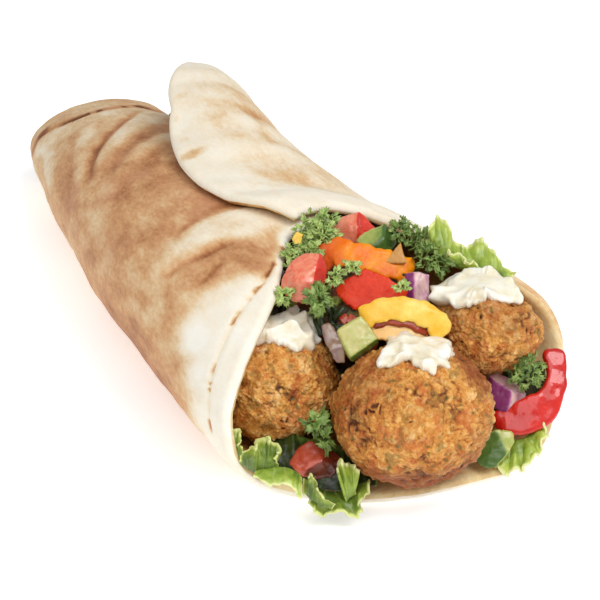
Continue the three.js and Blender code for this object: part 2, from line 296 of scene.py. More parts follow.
class Finish:
    """A material in the making, in millimetres: each method adds a node and gives its output."""

    def __init__(self, name, rough, glow=None, coat=None, shine=None):
        """glow: how much light goes below the surface, how deep, its tint. coat: weight and roughness."""
        FINISHES[name] = bpy.data.materials.new(name)
        FINISHES[name].use_nodes = True
        self.tree = FINISHES[name].node_tree
        self.shader = self.tree.nodes["Principled BSDF"]
        self.place = self.add("TexCoord", {}).outputs["Object"]
        self.to(Roughness=rough)
        if glow:
            self.to(Subsurface_Weight=glow[0], Subsurface_Scale=glow[1] * MM, Subsurface_Radius=glow[2:])
        if coat:
            self.to(Coat_Weight=coat[0], Coat_Roughness=coat[1])
        if shine:
            self.to(Specular_IOR_Level=shine)

    def put(self, socket, value):
        if isinstance(value, bpy.types.NodeSocket):
            self.tree.links.new(value, socket)
        else:
            socket.default_value = colour(value) if isinstance(value, str) else value

    def to(self, **sockets):
        for socket, value in sockets.items():
            self.put(self.shader.inputs[socket.replace("_", " ")], value)

    def add(self, kind, inputs, **settings):
        node = self.tree.nodes.new("ShaderNode" + kind)
        for setting, value in settings.items():
            setattr(node, setting, value)
        for socket, value in inputs.items():
            self.put(node.inputs[socket], value)
        return node

    def mark(self, name):
        return self.add("Attribute", {}, attribute_name=name).outputs["Fac"]

    def stretched(self, x, y, z):
        """Object coordinates scaled along each axis."""
        return self.add("Mapping", {"Vector": self.place, "Scale": (x, y, z)}).outputs["Vector"]

    def noise(self, size, detail, rough=0.55, twist=0.0, place=None):
        inputs = {"Scale": 1 / (size * MM), "Detail": detail, "Roughness": rough, "Distortion": twist}
        return self.add("TexNoise", {"Vector": place or self.place, **inputs}).outputs["Fac"]

    def cells(self, size, feature="F1", output="Distance"):
        inputs = {"Vector": self.place, "Scale": 1 / (size * MM)}
        return self.add("TexVoronoi", inputs, feature=feature).outputs[output]

    def plus(self, first, *others):
        for other in others:
            first = self.add("Math", {0: first, 1: other}, operation="ADD").outputs[0]
        return first

    def times(self, a, b):
        return self.add("Math", {0: a, 1: b}, operation="MULTIPLY").outputs[0]

    def spread(self, value, low, high, to_low=0.0, to_high=1.0):
        """Maps a value from one range to another, smoothly and within its ends."""
        inputs = dict(enumerate((value, low, high, to_low, to_high)))
        return self.add("MapRange", inputs, interpolation_type="SMOOTHSTEP").outputs["Result"]

    def vary(self, noise, amount):
        return self.spread(noise, 0.3, 0.7, -amount, amount)

    def shades(self, value, stops):
        """A run of colours along a value, from places to colour codes."""
        node = self.add("ValToRGB", {"Fac": value})
        for _ in range(len(stops) - 2):
            node.color_ramp.elements.new(0.5)
        for element, (at, code) in zip(node.color_ramp.elements, stops.items()):
            element.position = at
            element.color = colour(code)
        return node.outputs["Color"]

    def mix(self, share, a, b):
        return self.add("Mix", {0: share, 6: a, 7: b}, data_type="RGBA").outputs[2]

    def made(self, tone, height, depth, strength, rough=None):
        """Sets the colour, the relief and, where it varies, the roughness."""
        bump = self.add("Bump", {"Height": height, "Distance": depth * MM, "Strength": strength})
        self.to(Base_Color=tone, Normal=bump.outputs["Normal"])
        if rough:
            self.to(Roughness=rough)


def bread_finish():
    """Baked dough: cream where it stayed pale, tan to brown where it toasted and where shade is painted in,
    with a fine mottle.
    """
    f = Finish("baked_flatbread", 0.72, (0.12, 4, 1.0, 0.55, 0.3), shine=0.3)
    toast_and_shade = f.mark("toast_and_shade")
    along = f.stretched(1.0, 0.5, 1.0)
    coarse = f.noise(3.4, 4, 0.6, 0.0, along)
    fine = f.noise(1, 4, 0.65, 0.0, along)
    mottle = f.plus(f.vary(coarse, 0.07), f.vary(fine, 0.06))
    level = f.plus(toast_and_shade, f.times(mottle, f.spread(toast_and_shade, 0.0, 0.5, 0.3, 1.0)))
    tone = f.shades(level, {0: "#f7f2e6", 0.16: "#efe2ca", 0.34: "#dfc095", 0.52: "#cf9d6e", 0.74: "#aa7045",
                            1: "#6e3a1c"})
    rosy = f.spread(f.noise(12, 3, 0.6, 0.3), 0.48, 0.68, 0.0, 0.4)
    tone = f.mix(f.times(rosy, f.spread(toast_and_shade, 0.25, 0.6)), tone, "#c58a68")
    tone = f.mix(f.spread(f.mark("char"), 0.1, 0.9), tone, "#6a3a18")
    height = f.plus(f.times(coarse, 0.6), f.times(fine, 0.4), f.times(f.cells(2.6, "SMOOTH_F1"), -0.3))
    f.made(tone, height, 0.5, 0.45, f.spread(level, 0.1, 0.8, 0.8, 0.62))


def crumb_finish():
    """The inside of the bread: pale, soft and open, with painted shade darkening it further into the mouth.
    """
    f = Finish("bread_inside", 0.85, (0.15, 4, 1.0, 0.6, 0.35), shine=0.25)
    coarse, fine = f.noise(4, 4, 0.6, 0.3), f.noise(0.8, 4, 0.7)
    level = f.plus(f.mark("inside_shade"), f.vary(coarse, 0.12), f.vary(fine, 0.06))
    tone = f.shades(level, {0: "#f4e9ce", 0.35: "#ecd6a4", 0.7: "#d9ae70", 1: "#a8702f"})
    f.made(tone, f.plus(coarse, fine), 0.6, 0.5)


def falafel_finish():
    """Fried crumb: golden orange grains, painted shade between, painted highlight atop, rosy, dull, yellow
    patches, herb.
    """
    f = Finish("fried_crumb", 0.55, (0.05, 1, 1.0, 0.5, 0.2), (0.06, 0.3), 0.3)
    height, fine, crumb = f.mark("height"), f.noise(0.55, 4, 0.7), f.noise(1.3, 3, 0.6, 0.8)
    patch = f.noise(5.5, 4, 0.6, 0.6)
    level = f.plus(f.mark("grain"), f.vary(patch, 0.22), f.vary(crumb, 0.16), f.vary(fine, 0.14))
    tone = f.shades(level, {0: "#8c4c1c", 0.25: "#bd742e", 0.5: "#d79242", 0.75: "#e6ab58", 1: "#f2c684"})
    tone = f.mix(f.spread(f.noise(4.6, 3, 0.6, 0.8), 0.5, 0.64, 0.0, 0.55), tone, "#c25c28")
    dull = f.noise(3.4, 3, 0.6, 0.5, f.stretched(1.1, 0.9, 1.2))
    tone = f.mix(f.spread(dull, 0.53, 0.66, 0.0, 0.6), tone, "#87692c")
    # Darker where the crust browned at its crest, and painted shade on the underside and on one side.
    tone = f.mix(f.times(f.mark("browned_and_shaded"), 0.78), tone, "#8a4019")
    # Painted shade in the crevices and pits, darkest where the crumb lies lowest.
    tone = f.mix(f.spread(height, 0.44, 0.1, 0.0, 0.92), tone, "#54260c")
    # Painted highlight on the tops of the grains.
    tone = f.mix(f.spread(height, 0.66, 1.0, 0.0, 0.25), tone, "#f4cf90")
    tone = f.mix(f.times(f.mark("herb"), 0.75), tone, "#55602a")
    f.made(tone, f.plus(fine, crumb, f.cells(0.8)), 0.6, 0.6, f.spread(fine, 0.35, 0.65, 0.42, 0.68))


def sauce_finish():
    """Thick white sauce: creamy, softly glossy, with small curds."""
    f = Finish("white_sauce", 0.35, (0.4, 4, 1.0, 0.8, 0.6), (0.3, 0.15))
    tone = f.shades(f.noise(4, 3, 0.5, 0.4), {0.3: "#e6d8b8", 0.5: "#f3ead4", 0.72: "#fbf7ec"})
    f.made(tone, f.noise(1.4, 3, 0.5), 0.4, 0.3)


def tomato_finish(name, flesh_dark, flesh_light, rind_dark, rind_light):
    """Cut tomato: wet flesh with paler threads, under a redder skin."""
    f = Finish(name, 0.22, (0.3, 4, 1.0, 0.25, 0.15), (0.4, 0.1))
    threads = f.noise(2.4, 4, 0.6, 1.2, f.stretched(1.0, 1.0, 0.5))
    flesh = f.shades(threads, {0.3: flesh_dark, 0.75: flesh_light})
    rind = f.shades(f.noise(4, 3), {0.3: rind_dark, 0.7: rind_light})
    f.made(f.mix(f.spread(f.mark("skin"), 0.3, 0.7), flesh, rind), f.noise(1.3, 3), 0.4, 0.4)


def cucumber_finish():
    """Cut cucumber: pale wet flesh that greens towards a dark skin."""
    f = Finish("cucumber", 0.28, (0.15, 3, 0.8, 1.0, 0.4), (0.3, 0.12))
    level = f.plus(f.mark("skin"), f.spread(f.noise(3, 3, 0.6, 0.5), 0.3, 0.7, -0.08, 0.22))
    tone = f.shades(level, {0: "#beb56c", 0.3: "#a9b45a", 0.55: "#84994a", 0.8: "#62803a", 1: "#486826"})
    f.made(tone, f.noise(1.2, 3), 0.3, 0.4)


def onion_finish(name, flesh, inner):
    """Red onion: translucent layers, pinkish white to purple."""
    f = Finish(name, 0.3, (0.3, 4, 1.0, 0.7, 0.9), (0.3, 0.1))
    streak = f.noise(2.2, 3, 0.6, 0.3, f.stretched(1.0, 1.0, 0.18))
    level = f.plus(f.mark("skin"), f.spread(streak, 0.3, 0.7, -0.1, 0.3))
    tone = f.shades(level, {0: flesh, 0.25: inner, 0.5: "#bf7fa2", 0.75: "#a04a84", 1: "#7e2a62"})
    f.made(tone, streak, 0.3, 0.4)


def pepper_finish(name, dark, light, end, gloss):
    """Cooked pepper: a wet skin that blisters a little, turning to another tone at one end."""
    f = Finish(name, 0.34, (0.25, 3, 1.0, 0.45, 0.15), (gloss, 0.12), 0.25)
    tone = f.shades(f.noise(4, 3, 0.55, 0.3), {0.3: dark, 0.7: light})
    f.made(f.mix(f.mark("end"), tone, end), f.plus(f.noise(2.4, 3), f.noise(0.8, 2)), 0.4, 0.35)


def leaf_finish(name, dark, middle, light, edge):
    """A crisp leaf: green blade, paler veins and a pale edge."""
    f = Finish(name, 0.38, (0.15, 2, 0.5, 1.0, 0.2), (0.15, 0.2))
    rim = f.mark("rim")
    # Darker towards the base, painted shade where the leaf goes in among the filling; lighter out to the
    # edge.
    level = f.plus(f.times(rim, 0.62), f.spread(f.noise(4.2, 3, 0.5, 0.3), 0.3, 0.7, 0.0, 0.34))
    tone = f.shades(level, {0.1: dark, 0.5: middle, 0.9: light})
    tone = f.mix(f.times(f.mark("vein"), 0.16), tone, edge)
    tone = f.mix(f.spread(rim, 0.82, 0.95, 0.0, 0.9), tone, edge)
    f.made(tone, f.plus(f.noise(1.4, 3), f.cells(1.8)), 0.4, 0.5)


def herb_finish(name, dark, middle, light):
    """Parsley: a matt green blade with a lighter rim."""
    f = Finish(name, 0.45, (0.1, 1, 0.5, 1.0, 0.2), (0.1, 0.2))
    tone = f.shades(f.noise(2, 3, 0.6, 0.4), {0.3: dark, 0.5: middle, 0.72: light})
    f.made(f.mix(f.times(f.mark("rim"), 0.45), tone, light), f.noise(0.7, 3), 0.2, 0.5)


def core_finish():
    """Packed salad seen in the gaps: damp, green to brown, and dark with painted shade for the gaps it shows
    in.
    """
    f = Finish("packed_salad", 0.4, coat=(0.2, 0.2))
    tint = f.add("SeparateColor", {"Color": f.cells(3.5, output="Color")}).outputs["Red"]
    tone = f.shades(tint, {0: "#2a2410", 0.35: "#4c4a1c", 0.6: "#6a5a26", 0.8: "#5c2c14", 1: "#8a4a26"})
    tone = f.mix(f.spread(f.noise(2, 4), 0.3, 0.7, 0.0, 0.6), tone, "#2a1c0e")
    f.made(tone, f.plus(f.noise(1, 4), f.cells(2.5)), 0.8, 0.8)


def floor_finish():
    f = Finish("studio_floor", 0.9, shine=0.1)
    f.to(Base_Color=(0.93, 0.93, 0.93, 1), Emission_Color=(1, 1, 1, 1), Emission_Strength=0.42)


def make_finishes():
    bread_finish()
    crumb_finish()
    falafel_finish()
    sauce_finish()
    core_finish()
    cucumber_finish()
    # tomato_shaded, red_onion_shaded, lettuce_darker, lettuce_shaded and parsley_shaded are darker copies:
    # painted shade for pieces that sit in shade.
    tomato_finish("tomato", "#e0644a", "#f0a482", "#cc2a20", "#e44430")
    tomato_finish("tomato_shaded", "#a03420", "#c4583a", "#5a2012", "#7e3420")
    onion_finish("red_onion", "#efe4da", "#e2cfc8")
    onion_finish("red_onion_layers", "#d2aea8", "#b88498")
    onion_finish("red_onion_shaded", "#866a54", "#7c605e")
    pepper_finish("pepper_inside", "#bc8238", "#d8a460", "#bc8238", 0.1)
    pepper_finish("orange_pepper", "#e96e00", "#f89a08", "#da541e", 0.05)
    pepper_finish("scarlet_pepper", "#d02400", "#e43c06", "#d02400", 0.05)
    pepper_finish("yellow_pepper", "#efb62e", "#f6d870", "#f0b632", 0.25)
    pepper_finish("yellow_pepper_flesh", "#e9b268", "#f3cf92", "#e9b268", 0.3)
    pepper_finish("pepper_edge", "#7c2410", "#a8401c", "#7c2410", 0.3)
    pepper_finish("red_pepper", "#bd1510", "#d8281a", "#c01812", 1.0)
    leaf_finish("lettuce", "#4e701c", "#94aa3c", "#bac758", "#e2e5a0")
    leaf_finish("lettuce_darker", "#2e450e", "#667e26", "#a0b044", "#d8de8e")
    leaf_finish("lettuce_shaded", "#141c08", "#223210", "#3a4e1a", "#5c7a2c")
    herb_finish("parsley", "#345a16", "#82a342", "#d0e08e")
    herb_finish("parsley_shaded", "#284216", "#567a2e", "#98ac5a")


# ---- the roll
# The same roll as the part: millimetres from its lower lip, degrees round it from its right side.
ROLL_LENGTH = 212
BREAD, LAYER_GAP = 4, 0.8
STATIONS = [[1, 49.5, 48], [-6.8, 39.3, 48], [-9.5, 33, 46], [-7, 27.5, 38], [0, 23, 25]]
MOUTH_RIM = [15, 25, 57, 57, 33, 19, 13, 12, 8, -1, -1, 8]
WIND_START = (70, 34)
FLAP_FRONT, FLAP_LOBE, FLAP_ROUNDING = 449, 14, 46
ARCH, ARCH_MIDDLE, ARCH_REACH = 15, 152, 38
TAIL_CUT = 34
UNDERSIDE, PRESS = 0.82, 1.05
SHEET_STEPS = (330, 140)  # round the roll and along it


def skin(degrees, y, off):
    """Points on the roll's outer skin, moved outwards by off."""
    station = through(STATIONS, y / ROLL_LENGTH)
    c, s = np.cos(np.radians(degrees)), np.sin(np.radians(degrees))
    half = station[..., 2] / 2
    across = np.where(s >= 0, c, np.sign(c) * np.abs(c) ** UNDERSIDE)
    under = np.maximum(-off, half - (half + off) * PRESS * np.abs(s) ** UNDERSIDE)
    z = np.where(s >= 0, half + (half + off) * s, under)
    return np.stack([station[..., 0] + (station[..., 1] + off) * across, y, z], axis=-1)


def flap_edge(v):
    lobe = FLAP_LOBE * np.sin(np.pi * np.clip(v / 0.62, 0, 1))
    return FLAP_FRONT + lobe - FLAP_ROUNDING * np.clip((v - 0.55) / 0.45, 0, 1) ** 2


def tail_rim(degrees):
    return ROLL_LENGTH - TAIL_CUT * smooth(degrees, 345, 430) ** 1.5


def mouth_rim(degrees):
    return around(MOUTH_RIM, np.minimum(degrees, FLAP_FRONT))


def stand_off(degrees, y):
    climb = (BREAD + LAYER_GAP) * smooth(degrees, 315, 392)
    along = np.exp(-(((y - ARCH_MIDDLE) / ARCH_REACH) ** 2))
    lands = smooth(degrees, 424, 460) * (1 - 0.75 * smooth(y, 112, 150))
    return climb + ARCH * along * smooth(degrees, 368, 425) * (1 - lands)


def place_on_sheet(u, v):
    """Degrees round the roll and millimetres along it, for shares from the inner edge and from the mouth."""
    degrees = lerp(lerp(*WIND_START, smooth(v, 0.2, 0.9)), flap_edge(v), u)
    return degrees, lerp(mouth_rim(degrees), tail_rim(degrees), v)


def sheet(u, v, depth):
    degrees, y = place_on_sheet(u, v)
    return skin(degrees, y, stand_off(degrees, y) - depth)


def roll_offset():
    """From the roll's own place to its place in the frame, by the left, the tail and the floor."""
    u, v = np.meshgrid(np.linspace(0, 1, 51), np.linspace(0, 1, 13), indexing="ij")
    x, y, z = np.concatenate([sheet(u, v, depth).reshape(-1, 3) for depth in (0, BREAD)]).T
    low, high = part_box("flatbread")
    return np.array([low.x / MM - x.min(), high.y / MM - y.max(), low.z / MM - z.min()])


OFFSET = roll_offset()


def radius_at(y):
    """Roughly, millimetres from the roll's middle line to its skin."""
    return 0.9 * through([station[1] for station in STATIONS], y / ROLL_LENGTH)


def near_line(degrees, y, line):
    """How far each place on the skin is from a line of (degrees, y), and its share of the way along it."""
    radius, nearest, along = radius_at(y), np.full(y.shape, 1e9), np.zeros(y.shape)
    for k, ((d0, y0), (d1, y1)) in enumerate(zip(line, line[1:])):
        ax, ay = np.radians(degrees - d0) * radius, y - y0
        bx, by = np.radians(d1 - d0) * radius, y1 - y0
        t = np.clip((ax * bx + ay * by) / (bx * bx + by * by), 0, 1)
        far = np.hypot(ax - t * bx, ay - t * by)
        along = np.where(far < nearest, (k + t) / (len(line) - 1), along)
        nearest = np.minimum(nearest, far)
    return nearest, along


# Streaks that stayed pale, on soft folds: a line of (degrees, y), width at both ends, height, how pale.
PALE = [
    ([(78, 65), (100, 66), (113, 70.5), (127, 69), (141, 70), (151, 73)], 21, 3, 0.8, 0.85),
    ([(118, 172), (137, 152), (150, 134)], 5, 3, 0.4, 0.5),
    ([(70, 169), (103, 152), (121, 141), (133, 128)], 10, 4, 0.8, 0.6),
    ([(84, 138), (105, 132), (118, 126), (130, 119)], 9, 4, 0.6, 0.5),
    ([(150, 190), (163, 170), (176, 148)], 11, 5, 0.3, 0.55),
]
# Brown streaks in the hollows between them, toast with painted shade in the hollows, the last one mostly
# painted shadow under the flap's edge: the same, with how brown and how deep.
BROWN = [
    ([(74, 178), (88, 168), (105, 159), (124, 149), (136, 140), (146, 130)], 2.5, 5, 0.34, 0.6),
    ([(73, 157), (97, 146), (117, 133), (135, 124)], 7, 9, 0.16, 0.3),
    ([(88, 124), (110, 123), (126, 118), (142, 108)], 9, 6, 0.16, 0.3),
    ([(134, 174), (149, 156), (164, 143), (178, 132)], 11, 15, 0.12, 0.3),
    ([(108, 60), (126, 62), (138, 64.5), (148, 66)], 4, 3, 0.2, 0.6),
    ([(82, 74), (103, 78), (118, 78), (132, 76)], 5, 3, 0.2, 0.4),
    ([(120, 56), (130, 53), (140, 52)], 3, 2.5, 0.18, 0.2),
    ([(423, 126), (422, 112), (424, 98)], 3, 4, 0.14, 0.5),
    # Painted shadow under the flap's edge, with some toast.
    ([(102, 100), (101, 90), (96, 80), (88, 70)], 4, 3, 0.08, 0.2),
]
# Darker patches, mostly toast: middle (degrees, y), reach round and along in millimetres, and how brown. The
# one at (98, 98) under the flap and the one at (206, 80) on the lower left, where the roll turns away, are
# partly painted shade.
PATCHES = [
    (132, 57, 17, 9, 0.08), (126, 62, 7, 4, 0.12), (148, 54, 8, 5, 0.1), (142, 94, 17, 18, 0.15),
    (128, 84, 7, 8, 0.08), (98, 98, 14, 24, 0.12), (162, 54, 13, 15, -0.13), (160, 110, 16, 22, -0.02),
    (156, 201, 8, 3, 0.4), (190, 72, 9, 34, 0.14), (206, 80, 16, 46, 0.16), (150, 150, 24, 30, -0.04),
    (437, 117, 5, 9, 0.14), (433, 88, 6, 11, 0.13), (408, 90, 13, 24, 0.17), (386, 124, 16, 34, 0.17),
    (444, 134, 2, 2.2, 0.12), (449, 126, 1.8, 2.6, 0.14), (452, 115, 1.8, 2.2, 0.12),
    (455, 106, 2.6, 2, 0.3), (372, 130, 18, 50, 0.22), (420, 122, 10, 24, 0.1), (440, 132, 9, 12, 0.06),
    (366, 196, 6, 8, 0.24), (300, 90, 30, 40, 0.16), (375, 19, 30, 9, 0.3), (285, 160, 20, 24, 0.14),
]
# The pressed seams, dashed where they browned: their lines of (degrees, y).
MOUTH_SEAM = [(100, 51), (111, 44), (118, 40), (127, 37), (141, 32), (156, 27), (171, 23), (186, 21.5)]
TAIL_SEAM = [(55, 184), (69, 188), (93, 187), (112, 189), (131, 194), (141, 197), (156, 201), (175, 203)]


def bread_looks(degrees, y, from_mouth):
    """Relief in millimetres, and toast with some painted shade, and char, from 0 to 1, over the sheet's
    outer side.
    """
    radius = radius_at(y)
    flat = np.stack([np.radians(degrees) * radius, y, np.zeros_like(y)], axis=-1)
    drawn = flat * [1.0, 0.6, 1.0]
    ragged = uneven(drawn, 8, 22) + 0.4 * uneven(drawn, 4.5, 23)
    mottle = uneven(drawn, 4.5, 9)
    flap = smooth(degrees, 352, 376)
    pale_rim = 4 + 20 * smooth(degrees, 108, 142) - 4 * smooth(degrees, 150, 170)
    past_seam = y - np.interp(degrees, *np.transpose(TAIL_SEAM))
    body = smooth(from_mouth + 3.5 * ragged, 0.6 * pale_rim, 1.5 * pale_rim + 2) * (1 - flap)
    body = body * lerp(0.56, 1.0, smooth(4 * ragged - past_seam, -1, 26))
    toast_and_shade = 0.06 + 0.43 * body + 0.06 * flap + 0.09 * smooth(past_seam, -6, 4) * (1 - flap)
    toast_and_shade = toast_and_shade + (0.05 * uneven(flat, 24, 3, 2) + 0.05 * mottle) * lerp(0.3, 1.0, body)
    for at, along, reach_round, reach_along, brown in PATCHES:
        far = np.hypot(np.radians(degrees - at) * radius / reach_round, (y - along) / reach_along)
        toast_and_shade = toast_and_shade + brown * (1 - smooth(far + 0.3 * ragged, 0.15, 1.4))
    relief = (0.45 + 0.9 * flap) * uneven(flat, 20, 5, 2) * smooth(from_mouth, 0, 12)
    relief = relief + 0.1 * uneven(flat, 4, 6, 2)
    for line, start, end, height, pale in PALE:
        far, along = near_line(degrees, y, line)
        far = far / lerp(start, end, along)
        inside = (1 - smooth(far + 0.14 * ragged, 0.15, 0.75)) * smooth(1 - along, 0, 0.5)
        toast_and_shade = lerp(toast_and_shade, 0.15 + 0.05 * mottle, pale * inside)
        relief = relief + height * (1 - smooth(far, 0, 1)) * smooth(1 - along, 0, 0.3)
    for line, start, end, brown, depth in BROWN:
        far, along = near_line(degrees, y, line)
        far = far / lerp(start, end, along)
        inside = (1 - smooth(far + 0.2 * ragged, 0.1, 0.85)) * smooth(np.minimum(along, 1 - along), 0, 0.25)
        toast_and_shade = toast_and_shade + brown * inside
        relief = relief - depth * inside
    seam, along = near_line(degrees, y, MOUTH_SEAM)
    dash = smooth(0.8 * np.sin(2 * np.pi * (9.5 * along + 0.5 * ragged)) + 1.2 * mottle, -0.3, 0.5)
    at_mouth = (1 - smooth(seam + 0.3 * mottle, 0.4, 1.5)) * (1 - flap)
    toast_and_shade = toast_and_shade + 0.42 * at_mouth * dash + 0.1 * at_mouth
    relief = relief - 0.4 * np.exp(-((seam / 1.1) ** 2)) * (1 - flap)
    seam, along = near_line(degrees, y, TAIL_SEAM)
    close = smooth(0.8 * np.sin(2 * np.pi * (14 * along + 0.4 * ragged)) + 1.2 * mottle, -0.9, 0.5)
    close = close * (1 - 0.8 * smooth(along, 0.5, 0.64)) * smooth(along, 0, 0.1)
    at_tail = (1 - smooth(seam + 0.5 * mottle, 1.2, 4.2)) * (1 - flap)
    toast_and_shade = toast_and_shade + 0.22 * at_tail + 0.08 * (1 - smooth(seam, 0.5, 4)) * close
    relief = relief - 0.7 * np.exp(-((seam / 1.3) ** 2))
    char = np.clip(0.35 * at_mouth * dash**2 + 0.95 * at_tail * close, 0, 1)
    return relief, np.clip(toast_and_shade, 0, 1), char


def eased(share, rims):
    """Makes even steps finer at both ends."""
    return lerp(share, 0.5 - 0.5 * np.cos(np.pi * share), rims)


def make_flatbread():
    bread, u, v = grid("flatbread_sheet", *SHEET_STEPS)
    u, v = eased(u, 0.25), eased(v, 0.55)
    degrees, y = place_on_sheet(u, v)
    from_mouth = y - mouth_rim(degrees)
    relief, toast_and_shade, char = bread_looks(degrees, y, from_mouth)
    shaped(bread, sheet(u, v, BREAD / 2 - relief) + OFFSET)
    edge = np.minimum(np.minimum(from_mouth, tail_rim(degrees) - y), 300 * np.minimum(1 - u, u))
    rounded = np.sqrt(np.clip(1 - (1 - np.clip(edge / 2.4, 0, 1)) ** 2, 0, 1))
    thick = 0.12 + 0.88 * rounded * lerp(0.72, 1.0, smooth(edge, 4, 12))
    group = bread.vertex_groups.new(name="thickness")
    for index, weight in enumerate(thick):
        group.add([index], float(weight), "REPLACE")
    # The inside is painted darker further into the mouth, as shade.
    mark(bread, toast_and_shade=toast_and_shade, char=char, inside_shade=smooth(from_mouth, 0.5, 22) * 0.6 + 0.4)
    for finish in ("bread_inside", "baked_flatbread"):
        bread.data.materials.append(FINISHES[finish])
    modified(bread, "SOLIDIFY", thickness=BREAD * MM, offset=0, vertex_group="thickness",
             thickness_vertex_group=0.0, use_rim=True, material_offset=1, material_offset_rim=1)
    bread.vertex_groups.clear()
    shaped(bread, np.maximum(rows_of(bread) / MM, (-np.inf, -np.inf, 0)))
    done(bread, None, "flatbread", "flatbread")


# ---- fried balls and sauce
# Each ball: where its craggy crest is, the direction it is flattened in and how deep, how much its crest
# browns and its underside darkens as painted shade, how much lighter its crumb is painted to lift it out of
# shade, the side painted darker as shade and how much, and its sauce: the direction it lies in, its depth,
# how much of it the middle lacks and the left end has more, and the degrees it reaches every 30 degrees
# round, from +X towards +Y.
BALLS = {
    "centre": dict(size=(38, 38, 34), seed=6, crest=(0.75, -0.1, 0.62), flat=(0, 0, -1), press=0, fried=1.6,
                   painted_lift=0, side=(-0.8, 0.15, 0.6), brown=0.55, sauce=(0.02, 0, 1), depth=1.9, bank=0.14,
                   left_bank=0, reach=[33, 38, 33, 34, 25, 21, 32, 17, 18, 24, 27, 25]),
    "left": dict(size=(32, 32, 30), seed=4, crest=(-0.9, -0.3, 0.5), flat=(0, 0, -1), press=0, fried=0,
                 painted_lift=0.12, side=(0, 0, -1), brown=0, sauce=(0.04, -0.12, 1), depth=3, bank=0.14,
                 left_bank=0, reach=[40, 36, 30, 28, 27, 27, 30, 18, 19, 28, 33, 34]),
    "right": dict(size=(29, 29, 25), seed=5, crest=(0.1, -0.9, 0.5), flat=(0.84, 0.1, 0.54), press=3.6,
                  fried=0.5, painted_lift=0.08, side=(-0.72, -0.32, 0.62), brown=0.45, sauce=(-0.24, -0.12, 0.95),
                  depth=2.2, bank=0.62, left_bank=1, reach=[36, 20, 20, 26, 42, 50, 40, 28, 26, 30, 38, 43]),
}
BALL_CUTS, QUICK_CUTS = 124, 50
SAUCE_STEPS, SAUCE_RINGS = 160, 80


def ball_skin(ball, direction):
    """Points on a ball's plain surface."""
    pressed = ball["press"] * smooth(direction @ unit(np.array(ball["flat"])), 0.45, 1.0)
    return direction * (np.array(ball["size"]) / 2 - pressed[:, None])


def make_falafel(place, ball):
    seed = ball["seed"]
    piece = started(bpy.ops.mesh.primitive_cube_add, f"fried_ball_{place}", size=2)
    edited(piece, (bpy.ops.mesh.subdivide, {"number_cuts": BALL_CUTS}))
    direction = unit(np.tan(rows_of(piece) * math.pi / 4))
    plain = ball_skin(ball, direction)
    spread = plain + 40 * seed
    warped = spread + 0.5 * np.stack([uneven(spread, 1.5, seed + k) for k in (11, 12, 13)], axis=-1)
    swell = 0.5 * uneven(spread, 12, seed, 2) + 0.55 * uneven(spread, 3.6, seed + 1, 2)
    near, border, number = grains(warped, 1.35, seed + 2)
    _, border_big, number_big = grains(warped, 3.1, seed + 3)
    near_fine, _, number_fine = grains(warped, 0.7, seed + 7)
    near_pit, _, number_pit = grains(warped, 1.6, seed + 5)
    near_herb, _, number_herb = grains(warped, 1.5, seed + 30)
    crust = smooth(uneven(spread, 7, seed + 8, 2), -0.5, 0.3)
    granule = 0.6 * (0.6 - near**1.4) + 0.62 * (number - 0.5) * smooth(border, 0, 0.3)
    granule = granule + 0.26 * (0.55 - near_fine)
    lump = 0.6 * (number_big - 0.5) * smooth(border_big, 0, 0.22)
    pitted = smooth(uneven(spread, 6.5, seed + 9, 2), -0.1, 0.5)
    pit = (number_pit > 0.7) * (1 - smooth(near_pit, 0.0, 0.55)) * lerp(0.2, 1.2, pitted)
    crest = np.exp(-((1 - direction @ unit(np.array(ball["crest"]))) / 0.1) ** 2)
    relief = swell + lerp(0.6, 1.0, crust) * granule + lump - 0.7 * pit - 0.55
    relief = relief + crest * (0.7 + 0.9 * uneven(spread, 2.6, seed + 14, 2))
    shaped(piece, plain + direction * relief[:, None] + middle_of(f"falafel_{place}"))
    # Painted shade: darker on the underside, and on one side where the ball sits in shade.
    low = smooth(-direction[:, 2] + 0.25 * uneven(spread, 6, seed + 20, 2), 0.05, 0.75)
    side = direction @ unit(np.array(ball["side"])) + 0.06 * uneven(spread, 5, seed + 21, 2)
    browned_and_shaded = ball["fried"] * (0.9 * low + 0.9 * crest) + ball["brown"] * smooth(side, 0.7, 0.97)
    # Painted light: the crumb of a ball that sits in shade is lifted lighter.
    grain = 0.5 + ball["painted_lift"] + 0.34 * (number - 0.5) + 0.24 * (number_fine - 0.5)
    mark(piece, height=np.clip(0.5 + 0.62 * granule + 0.3 * lump + 0.3 * swell - 0.6 * pit, 0, 1),
         grain=np.clip(grain, 0, 1), browned_and_shaded=np.clip(browned_and_shaded + 0.2 * (number_big > 0.8), 0, 1),
         herb=(number_herb > 0.93) * (1 - smooth(near_herb, 0.2, 0.45)))
    done(piece, "fried_crumb", "falafel", f"falafel_{place}")


